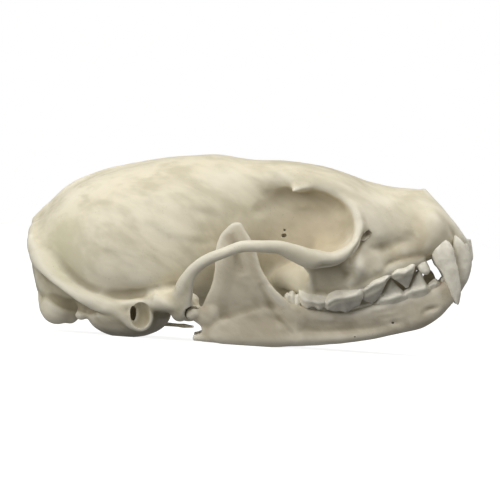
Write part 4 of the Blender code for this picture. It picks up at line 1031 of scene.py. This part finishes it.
def cranium_relief(thing):
    """Muscle lines, swellings over the tooth roots, hollows and a faint unevenness, along the normals."""
    points, normals = points_of(thing), normals_of(thing)
    side = folded(points)
    flat, out = side[:, [0, 2]], side[:, 1]
    outer = step_up(normals[:, 1] * np.sign(points[:, 1]), *FACING_OUT)
    push = marked(side, CRANIUM_LINES, near_path) + marked(side, CRANIUM_SPOTS)
    push += crest_flare(flat) * step_up(out, *FLARE_OUT) * (1 - step_up(side[:, 0], *FLARE_END))
    for height, path, width, start, full in CRANIUM_GROOVES:
        push += height * near_path(flat, path, width) * outer * step_up(out, start, full)
    cheek = step_up(inside(flat, CHEEK_HOLLOW), *CHEEK_EDGE) * outer * step_up(out, *CHEEK_OUT)
    push += marked(flat, TEMPLE_MARKS, near_path) * step_up(out, *TEMPLE_OUT) - CHEEK_DEPTH * cheek
    rough = step_up(side[:, 0], *UPPER_ROOTS_X) * (1 - step_up(side[:, 2], *UPPER_ROOTS_Z)) * outer
    push += rough * noisy(points, UPPER_SOCKETS_UNEVEN)
    push += near_point(side, *TEMPLE) * noisy(side @ MUSCLE_DRIFT, TEMPLE_UNEVEN)
    push += noisy(points, CRANIUM_UNEVEN)
    move_points(thing, points + normals * push[:, None])


def cranium_tints(thing):
    """Warm and olive patches of the cranium, painted shade with some grime, and pale patches with painted
    light, written at its corners.
    """
    side = folded(points_of(thing))
    flat, out = side[:, [0, 2]], side[:, 1]
    lateral = step_up(out, *LATERAL)
    # Painted shade under parts, in creases and recesses, with some random grime.
    painted_shade_and_grime = marked(side, SHADE_AND_GRIME_SPOTS) + marked(flat, SHADE_AND_STREAK_LINES, near_path) * lateral
    cheek = step_up(inside(flat, CHEEK_HOLLOW), *CHEEK_SHADE_EDGE) * step_up(out, *CHEEK_OUT)
    crest = step_up(inside(flat, CREST_SIDE), *DROP_START) * step_up(side[:, 2], *CREST_SHADE_Z)
    brow = near_path(flat, BROW_SHADE, 1.5) * (1 - step_up(out, *BROW_IN)) * step_up(out, *BROW_OUT)
    painted_shade_and_grime += CHEEK_SHADE * cheek + CREST_SHADE * crest + BROW_SHADE_AMOUNT * brow
    blotches = np.clip(0.2 + uneven(side, 2.6, 8), 0, 1) * near_point(side, *GRIME_BLOTCHES)
    painted_shade_and_grime += BLOTCH_GRIME * blotches
    # Painted light and paler bone: along the upper tooth sockets, on lit bumps, and on the braincase wall
    # that the arch shades.
    pale = near_path(flat, UPPER_SOCKETS, 1.2) * lateral + marked(side, SPOTTY_PAINTED_LIGHT)
    pale = pale * spotty(side, 1.8, 9) + marked(side, LIT_AND_PALE_SPOTS)
    pale += near_point(side, *BEHIND_ARCH) * (1 - step_up(out, *ARCH_IN))
    tinted(thing, "warmth", marked(side, WARM_SPOTS))
    tinted(thing, "olive", marked(side, OLIVE_SPOTS))
    tinted(thing, "painted_shade_and_grime", painted_shade_and_grime)
    tinted(thing, "pale", pale)


def cranium():
    """The whole upper skull without its teeth: soft forms fused and relaxed, the openings cut, then the
    crests, arches, rims and ear capsules fused on with crisper folds."""
    soft = [
        loft(BRAINCASE, 2.2),
        loft(BACK_OF_SKULL),
        loft(SKULL_BASE, 2.8),
        loft(FOREHEAD),
        loft(ORBIT_WALL),
        loft(UPPER_JAW, 3.0),
        loft(MUZZLE, 2.2),
        bar(SAGITTAL_CREST),
        *paired([lump(*CANINE_SWELLING), lump(*ARCH_ROOT_FILL), lump(*SLOT_LIP)]),
        *paired([bar(NUCHAL_CREST), plate(ARCH_FRONT_ROOT)]),
    ]
    bone = fused(built("cranium", soft), SOFT_GRAIN, SOFT_ROUNDS)
    holes = [loft(MOUTH_ROOF, 4.0), lump(*NOSE_HOLE, slope_deg=NOSE_HOLE_SLOPE_DEG)]
    cut(bone, [*holes, *paired([lump(*hollow) for hollow in (EYE_SOCKET, BEHIND_EYE, UNDER_BROW)])])
    softened(bone, SOCKET_WALLS, SOCKET_WALL_ROUNDS)
    bars = (NOSE_RIM, SHELF_OVER_EAR, MASTOID, TOOTH_BORDER, PTERYGOID, BROW_POINT)
    crisp = [
        bar(ZYGOMATIC_ARCH, 110),
        plate(ARCH_BACK_ROOT),
        *(bar(table) for table in bars),
        *(lump(*place) for place in ARCH_SOCKET_LUMPS),
        *(lump(*place) for place in (OCCIPITAL_CONDYLE, CONDYLE_NECK)),
        bar(CONDYLE_RIM),
        *(lump(*place) for place in (BESIDE_CONDYLE, EAR_CAPSULE, BESIDE_EAR)),
        drum(EAR_TUBE_FROM, EAR_TUBE_TO, EAR_TUBE_OUTER, 12),
    ]
    bone = fused(joined("cranium", bone, paired(crisp)), BONE_GRAIN, BONE_ROUNDS)
    softened(bone, BLENDS, BLEND_ROUNDS)
    neck = lump(*NECK_HOLE, slope_deg=NECK_HOLE_SLOPE_DEG)
    openings = [drum(*JAW_TROUGH), lump(*EAR_BOWL), lump(*EAR_PASSAGE), bar(INFRAORBITAL_SLOT)]
    cut(bone, [neck, *paired(openings)])
    largest_only(bone)
    move_points(bone, relaxed(points_of(bone), edges_of(bone), 1))
    cranium_relief(bone)
    bone = joined("cranium", bone, paired([bar(EAR_SPINE)]))
    hollows_measured(bone)
    cranium_tints(bone)
    cut(bone, paired([drum(*hole) for hole in SOCKET_HOLES]))
    return placed(smooth_shaded(thinned(bone)))


def jaw_relief(thing):
    """The muscle hollow in the jaw's outer face, its grooves and ridges, and a faint unevenness."""
    points, normals = points_of(thing), normals_of(thing)
    flat = points[:, [0, 2]]
    hollow = step_up(inside(flat, MUSCLE_HOLLOW), 0, MUSCLE_HOLLOW_EDGE)
    outer = step_up(normals[:, 1], *HOLLOW_FACING) * step_up(points[:, 1], *HOLLOW_OUT)
    push = -MUSCLE_HOLLOW_DEPTH * hollow * outer - CHIN_DEPTH * near_path(points, CHIN_GROOVE, CHIN_WIDTH)
    push += marked(points, ROUND_JAW_HOLE)
    push += marked(flat, JAW_RELIEF, near_path) * step_up(normals[:, 1], *JAW_FACING)
    push += noisy(points, JAW_UNEVEN)
    toothed = step_up(points[:, 0], *LOWER_ROOTS_X) * step_up(points[:, 2], *LOWER_ROOTS_Z)
    push += toothed * noisy(points, LOWER_SOCKETS_UNEVEN)
    move_points(thing, relaxed(points + normals * push[:, None], edges_of(thing), 3))


def jaw_tints(thing):
    """Warm patches of a jaw half, painted shade with some grime, and painted light along the tooth sockets,
    written at its corners.
    """
    points = points_of(thing)
    side, flat = folded(points), points[:, [0, 2]]
    # Painted shade, with random darker blotches.
    painted_shade_and_grime = marked(side, JAW_SHADE_SPOTS) + PLATE_SHADE * near_path(flat, PLATE_HOLLOW, 1.0)
    blotches = np.clip(0.15 + uneven(side * (0.5, 1, 1), 2.0, 15), 0, 1)
    painted_shade_and_grime += JAW_BLOTCH_GRIME * blotches * step_up(points[:, 0], *LOWER_BLOTCHES_X)
    hollow = step_up(inside(flat, MUSCLE_HOLLOW), 0, MUSCLE_HOLLOW_EDGE)
    painted_shade_and_grime += HOLLOW_SHADE * hollow * step_up(side[:, 1], *HOLLOW_OUT)
    tinted(thing, "warmth", marked(side, JAW_WARM_SPOTS))
    # Painted light: brighter along the lower tooth sockets, in spots.
    tinted(thing, "pale", near_path(flat, LOWER_SOCKETS, 1.3) * spotty(points, 1.6, 16))
    tinted(thing, "painted_shade_and_grime", painted_shade_and_grime)


def lower_jaw(name, side):
    """One half of the lower jaw: body, upright plate, hinge and angle fused, its relief pressed in, and all
    that reaches past the midline cut off."""
    bars = [bar(table) for table in (JAW_CONDYLE, JAW_NECK, JAW_ANGLE, PLATE_RIDGE)]
    shapes = [beam(JAW_BODY, 2.8), plate(JAW_PLATE), *bars]
    bone = fused(built(name, shapes), JAW_GRAIN, JAW_ROUNDS)
    jaw_relief(bone)
    cut(bone, [drum(*hole) for hole in (*JAW_HOLES, PAST_MIDLINE)])
    largest_only(bone)
    if side < 0:
        move_points(bone, points_of(bone) * (1, -1, 1))
        turned_out(bone.data)
    hollows_measured(bone)
    jaw_tints(bone)
    return placed(smooth_shaded(bone))


def upper_teeth():
    """All the upper teeth: edged premolars and carnassials, the transverse molar, canines and incisors."""
    premolars = [bladed(UPPER_SECOND_PREMOLAR), bladed(UPPER_THIRD_PREMOLAR)]
    blades = [bladed(UPPER_CARNASSIAL), bladed(UPPER_MOLAR)]
    teeth = [*blades, *(cusp(row) for row in UPPER_CUSPS), canine(UPPER_CANINE)]
    return enamelled("upper_teeth", [*paired(teeth), *stepped(premolars)], UPPER_GUM, 1.0)


def lower_teeth():
    """All the lower teeth."""
    blades = [bladed(LOWER_THIRD_PREMOLAR), bladed(LOWER_CARNASSIAL)]
    teeth = [*blades, *(cusp(row) for row in LOWER_CUSPS), canine(LOWER_CANINE)]
    left = [bladed(LEFT_LOWER_SECOND_PREMOLAR), bladed(LEFT_LOWER_FOURTH_PREMOLAR)]
    right = [mirrored(bladed(table)) for table in (LOWER_SECOND_PREMOLAR, LOWER_FOURTH_PREMOLAR)]
    return enamelled("lower_teeth", [*paired(teeth), *left, *right], LOWER_GUM, LOWER_CROWN_SHADE_SHARE)


def enamelled(name, shapes, gum, crown_shade_share):
    """Teeth fused and made faintly uneven, with painted shade on the crown beyond the band beside the gum
    line.
    """
    thing = fused(built(name, shapes), TOOTH_GRAIN, TOOTH_ROUNDS)
    points, normals = points_of(thing), normals_of(thing)
    move_points(thing, points + normals * noisy(points, TOOTH_UNEVEN)[:, None])
    hollows_measured(thing)
    height = eased(gum, np.clip(points[:, 0], gum[0][0], gum[-1][0]))[:, 0]
    blades = step_up(points[:, 0], *CROWN_SHADE_START) * (1 - step_up(points[:, 0], *CROWN_SHADE_END))
    beyond = step_up(np.abs(points[:, 2] - height), *CROWN_SHADE_EDGE)
    # Painted shade on the crowns, which lean in under the band and lie in shadow.
    tinted(thing, "crown", beyond * blades * crown_shade_share)
    return placed(smooth_shaded(thing))


def wired(tree, kind, links=None, **settings):
    """A node of this kind with its settings made and its inputs linked or set."""
    node = tree.nodes.new(kind)
    for name, value in settings.items():
        setattr(node, name, value)
    for name, source in (links or {}).items():
        if isinstance(source, bpy.types.NodeSocket):
            tree.links.new(source, node.inputs[name])
        else:
            node.inputs[name].default_value = source
    return node


def grouped(name, inputs, outputs):
    """An empty node group with these sockets, and the nodes that hold them."""
    group = bpy.data.node_groups.new(name, "ShaderNodeTree")
    for label, kind, value in inputs:
        socket = group.interface.new_socket(label, in_out="INPUT", socket_type="NodeSocket" + kind)
        if value is not None:
            socket.default_value = value
    for label, kind in outputs:
        group.interface.new_socket(label, in_out="OUTPUT", socket_type="NodeSocket" + kind)
    return group, group.nodes.new("NodeGroupInput").outputs, group.nodes.new("NodeGroupOutput").inputs


def mixed(tree, factor, first, second):
    """Two colours mixed by a factor. The Mix node's colours are its inputs 6 and 7 and its output 2."""
    return wired(tree, "ShaderNodeMix", {0: factor, 6: first, 7: second}, data_type="RGBA").outputs[2]


def calculated(tree, operation, *values, **settings):
    """The result of this operation on the values."""
    links = dict(enumerate(values))
    return wired(tree, "ShaderNodeMath", links, operation=operation, **settings).outputs[0]


def ranged(tree, value, *limits, **settings):
    """A value brought from one range to another, by From Min, From Max, and To Min, To Max if given."""
    links = dict(zip(("Value", "From Min", "From Max", "To Min", "To Max"), (value, *limits)))
    return wired(tree, "ShaderNodeMapRange", links, **settings).outputs[0]


def cloudy(tree, place, scale, detail, **more):
    """A cloudy noise read at a place."""
    links = {"Vector": place, "Scale": scale, "Detail": detail, **more}
    return wired(tree, "ShaderNodeTexNoise", links).outputs[0]


def effect(tree, group, **links):
    """What a node group makes of these inputs."""
    return wired(tree, "ShaderNodeGroup", links, node_tree=group).outputs


# Mottling: how much finer its middling patches are and how much they count, and where it turns drab.
FINER, FINER_SHARE, DRAB_RANGE = 3.1, 0.45, (0.55, 0.92)
# Pits: where their cells turn into pits, and where a noise of this scale lets them lie.
PIT_RANGE, FIELD_SCALE, FIELD_RANGE = (0.22, 0.08), 260.0, (0.56, 0.7)
# Wear and painted shade: where hollows hold stain and painted shade, the fine ones' share in it, and where
# ridges are rubbed.
STAIN_AND_SHADE_RANGE, FINE_SHARE, RUBBED_RANGE = (0.1, 1.0), 0.6, (-0.15, -0.9, 0.0, 0.55)


def mottling_group():
    """Broad and middling cloudy patches between a pale and a drab colour."""
    colours = (("Pale", "Color", None), ("Drab", "Color", None))
    inputs = (("Vector", "Vector", None), *colours, ("Size", "Float", 8.0))
    group, given, out = grouped("mottling", inputs, (("Color", "Color"), ("Mask", "Float")))
    place, scale = given["Vector"], calculated(group, "DIVIDE", PER_METRE, given["Size"])
    finer = calculated(group, "MULTIPLY", scale, FINER)
    broad = cloudy(group, place, scale, 3.0, Distortion=0.6)
    both = calculated(group, "MULTIPLY_ADD", cloudy(group, place, finer, 4.0), FINER_SHARE, broad)
    mask = ranged(group, both, *DRAB_RANGE, interpolation_type="SMOOTHSTEP")
    group.links.new(mixed(group, mask, given["Pale"], given["Drab"]), out["Color"])
    group.links.new(mask, out["Mask"])
    return group


def grain_group():
    """Fine bone grain: a low bumpy noise and sparse small pits."""
    inputs = (("Vector", "Vector", None), ("Size", "Float", 0.5), ("Pits", "Float", 0.5))
    group, given, out = grouped("grain", inputs, (("Height", "Float"), ("Pit Mask", "Float")))
    place, scale = given["Vector"], calculated(group, "DIVIDE", PER_METRE, given["Size"])
    cells = wired(group, "ShaderNodeTexVoronoi", {"Vector": place, "Scale": scale}, feature="F1").outputs[0]
    here = ranged(group, cloudy(group, place, FIELD_SCALE, 1.0), *FIELD_RANGE)
    pits = calculated(group, "MULTIPLY", ranged(group, cells, *PIT_RANGE), here)
    amount = calculated(group, "MULTIPLY", pits, given["Pits"])
    bumps = cloudy(group, place, scale, 5.0, Roughness=0.6)
    group.links.new(calculated(group, "SUBTRACT", bumps, amount), out["Height"])
    group.links.new(amount, out["Pit Mask"])
    return group


def wear_and_shade_group():
    """Stain and painted shade gathered in hollows, and rubbed off ridges, by the values written at the
    mesh's corners.
    """
    colours = [(name, "Color", None) for name in ("Color", "Stain And Shade", "Rubbed")]
    values = [("Fine", "Float", 0.0), ("Broad", "Float", 0.0), ("Amount", "Float", 1.0)]
    group, given, out = grouped("wear_and_shade", (*colours, *values), (("Color", "Color"),))
    fine, broad = (ranged(group, given[name], *STAIN_AND_SHADE_RANGE) for name in ("Fine", "Broad"))
    stain_and_shade = calculated(group, "MULTIPLY_ADD", fine, FINE_SHARE, broad, use_clamp=True)
    stained_shaded_share = calculated(group, "MULTIPLY", stain_and_shade, given["Amount"])
    ridge = ranged(group, given["Fine"], *RUBBED_RANGE)
    colour = mixed(group, stained_shaded_share, given["Color"], given["Stain And Shade"])
    group.links.new(mixed(group, ridge, colour, given["Rubbed"]), out["Color"])
    return group


MOTTLING, GRAIN, WEAR_AND_SHADE = mottling_group(), grain_group(), wear_and_shade_group()


def linear(*display):
    """A display colour, 0 to 255, as the linear colour that the shader takes."""
    share = np.array(display) / 255
    return (*np.where(share <= 0.04045, share / 12.92, ((share + 0.055) / 1.055) ** 2.4), 1.0)


def fresh_material(name):
    """A new node material with its shader, and Object coordinates."""
    material = bpy.data.materials.new(name)
    material.use_nodes = True
    tree = material.node_tree
    return material, tree, tree.nodes["Principled BSDF"], wired(tree, "ShaderNodeTexCoord").outputs["Object"]


def attribute(tree, name):
    """The value written at the mesh's corners under this name."""
    return wired(tree, "ShaderNodeAttribute", attribute_name=name).outputs["Fac"]


def painted(tree, colour, name, strength, tone):
    """The colour brought towards a tone where the values under this name are written."""
    return mixed(tree, calculated(tree, "MULTIPLY", attribute(tree, name), strength), colour, tone)


def shaded_and_weathered(tree, colour, stain_and_shade, rubbed, amount):
    """The colour stained and painted darker as shade in the hollows, and rubbed on the ridges."""
    fine, broad = attribute(tree, "fine_hollow"), attribute(tree, "broad_hollow")
    links = {"Color": colour, "Stain And Shade": stain_and_shade, "Rubbed": rubbed, "Amount": amount}
    return effect(tree, WEAR_AND_SHADE, Fine=fine, Broad=broad, **links)["Color"]


def finished(tree, shader, colour, mask, roughness, height, strength, depth):
    """Gives the shader its colour, a roughness between two values and a fine bump."""
    rough = ranged(tree, mask, 0.0, 1.0, *roughness)
    bump = wired(tree, "ShaderNodeBump", {"Strength": strength, "Distance": depth, "Height": height})
    for name, source in (("Base Color", colour), ("Roughness", rough), ("Normal", bump.outputs[0])):
        tree.links.new(source, shader.inputs[name])


def bone_material(name, pale, drab, stain_and_shade, warm, patch_size):
    """Dry, cleaned bone: ivory with drab patches, stain and painted shade in the hollows, painted shade and
    painted light in patches, a satin sheen and a fine grain.
    """
    material, tree, shader, place = fresh_material(name)
    turned = {"Vector": place, "Rotation": (0, math.radians(STROKE_SLOPE_DEG), 0), "Scale": (2.3, 1, 1)}
    drawn_out = wired(tree, "ShaderNodeMapping", turned, vector_type="TEXTURE").outputs[0]
    base = effect(tree, MOTTLING, Vector=drawn_out, Pale=pale, Drab=drab, Size=patch_size)
    colour = painted(tree, base["Color"], "olive", 0.5, linear(208, 204, 168))
    colour = painted(tree, colour, "warmth", 0.75, warm)
    # Painted shade under parts and in recesses, with some grime.
    colour = painted(tree, colour, "painted_shade_and_grime", 0.8, linear(112, 104, 92))
    # Painted light and paler bone.
    colour = painted(tree, colour, "pale", 0.65, linear(243, 237, 220))
    # Stain and painted shade in the hollows, lighter rubbed ridges.
    colour = shaded_and_weathered(tree, colour, stain_and_shade, linear(236, 231, 214), amount=0.6)
    grain = effect(tree, GRAIN, Vector=place, Size=0.45, Pits=0.5)
    colour = mixed(tree, grain["Pit Mask"], colour, stain_and_shade)
    finished(tree, shader, colour, base["Mask"], (0.42, 0.58), grain["Height"], strength=0.35, depth=0.00006)
    shader.inputs["Specular IOR Level"].default_value = 0.4
    return material


def enamel_material(name):
    """Tooth enamel: greyish ivory, glossier than the bone, with painted shade on the crowns and stain and
    painted shade in the hollows.
    """
    material, tree, shader, place = fresh_material(name)
    pale, drab = linear(240, 235, 218), linear(218, 212, 195)
    base = effect(tree, MOTTLING, Vector=place, Pale=pale, Drab=drab, Size=3.0)
    # Painted shade on the crowns beyond the band by the gum.
    colour = painted(tree, base["Color"], "crown", 0.7, linear(142, 139, 130))
    # Stain and painted shade in the hollows, lighter rubbed ridges.
    colour = shaded_and_weathered(tree, colour, linear(132, 120, 98), linear(232, 229, 217), amount=0.5)
    grain = effect(tree, GRAIN, Vector=place, Size=0.3, Pits=0.0)
    finished(tree, shader, colour, base["Mask"], (0.22, 0.34), grain["Height"], strength=0.15, depth=0.00003)
    return material


def dressed(thing, material, slot, *nodes):
    """Gives a finished piece its material, hangs it under the frame's root body, and hides the frame's parts
    that it stands for. The slot is not used.
    """
    thing.data.materials.clear()
    thing.data.materials.append(material)
    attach(thing, "root")
    if nodes:
        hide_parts(*nodes)


def camera():
    """A long lens at the photo's viewing angle, rolled with the skull's tilt so that it lies as there."""
    data = bpy.data.cameras.new("camera")
    data.sensor_width = SENSOR
    data.lens = SENSOR * CAMERA_AWAY / VIEW_WIDTH
    data.clip_start, data.clip_end = CLIP_NEAR, CLIP_FAR
    thing = linked("camera", data)
    bpy.context.scene.camera = thing
    rise = math.radians(VIEW_RISE_DEG)
    back = Vector((0, -math.cos(rise), math.sin(rise)))
    own = Matrix.Translation((Vector(VIEW_CENTRE) + back * CAMERA_AWAY) * MM)
    tilt = Matrix.Rotation(math.radians(-REST_TILT_DEG), 4, "Y")
    rest = Matrix.Translation(Vector(REST_SHIFT) * MM) @ tilt
    thing.matrix_world = rest @ own @ (-back).to_track_quat("-Z", "Y").to_matrix().to_4x4()


def area_light(name, azimuth_deg, height_deg, power):
    """A square soft light, round from the camera's side and up from the floor, turned to the skull."""
    data = bpy.data.lights.new(name, "AREA")
    data.size, data.energy = LIGHT_SIZE, power
    thing = linked(name, data)
    azimuth, height = math.radians(azimuth_deg), math.radians(height_deg)
    level = math.cos(height)
    way = Vector((math.sin(azimuth) * level, -math.cos(azimuth) * level, math.sin(height)))
    turned = (-way).to_track_quat("-Z", "Y").to_matrix().to_4x4()
    thing.matrix_world = Matrix.Translation(way * LIGHT_AWAY + Vector(LIGHT_AIM)) @ turned


def studio():
    """A plain white floor, soft light from all round, and a pale surround."""
    material, tree, shader, place = fresh_material("floor_white")
    shader.inputs["Base Color"].default_value = (FLOOR_GREY, FLOOR_GREY, FLOOR_GREY, 1.0)
    shader.inputs["Roughness"].default_value = FLOOR_ROUGHNESS
    shader.inputs["Specular IOR Level"].default_value = 0.0
    shader.inputs["Emission Color"].default_value = (1.0, 1.0, 1.0, 1.0)
    away = wired(tree, "ShaderNodeVectorMath", {0: place}, operation="LENGTH").outputs["Value"]
    tree.links.new(ranged(tree, away, *FLOOR_GLOW), shader.inputs["Emission Strength"])
    corners = [(x * FLOOR_HALF, y * FLOOR_HALF, 0) for x, y in ((-1, -1), (1, -1), (1, 1), (-1, 1))]
    mesh = bpy.data.meshes.new("floor")
    mesh.from_pydata(corners, [], [(0, 1, 2, 3)])
    mesh.materials.append(material)
    floor = linked("floor", mesh)
    floor.visible_diffuse = False
    floor.visible_glossy = False
    for light in LIGHTS:
        area_light(*light)
    world = bpy.data.worlds.new("surround")
    bpy.context.scene.world = world
    world.use_nodes = True
    tree = world.node_tree
    shade = tree.nodes["Background"]
    seen = wired(tree, "ShaderNodeLightPath").outputs["Is Camera Ray"]
    tree.links.new(ranged(tree, seen, 0.0, 1.0, SURROUND, 1.0), shade.inputs["Strength"])
    shade.inputs["Color"].default_value = (1.0, 1.0, 1.0, 1.0)


bpy.context.scene.view_settings.view_transform = "Standard"
camera()
studio()

cranium_tones = ((231, 222, 197), (207, 198, 171), (132, 118, 86), (207, 190, 158))
jaw_tones = ((226, 216, 193), (201, 189, 164), (128, 114, 84), (160, 118, 88))
ivory = bone_material("ivory_bone", *(linear(*tone) for tone in cranium_tones), 5.5)
jaw_ivory = bone_material("jaw_ivory_bone", *(linear(*tone) for tone in jaw_tones), 5.0)
enamel = enamel_material("enamel")

arches = ("zygomatic_arch_left", "zygomatic_arch_right")
ears = ("auditory_bulla_left", "auditory_bulla_right")
dressed(cranium(), ivory, "cranium_bone", "braincase", "muzzle", *arches, *ears)
for word, side in (("left", 1), ("right", -1)):
    dressed(lower_jaw("lower_jaw_" + word, side), jaw_ivory, "jaw_bone", "mandible_" + word)
dressed(upper_teeth(), enamel, "tooth_enamel")
dressed(lower_teeth(), enamel, "tooth_enamel")
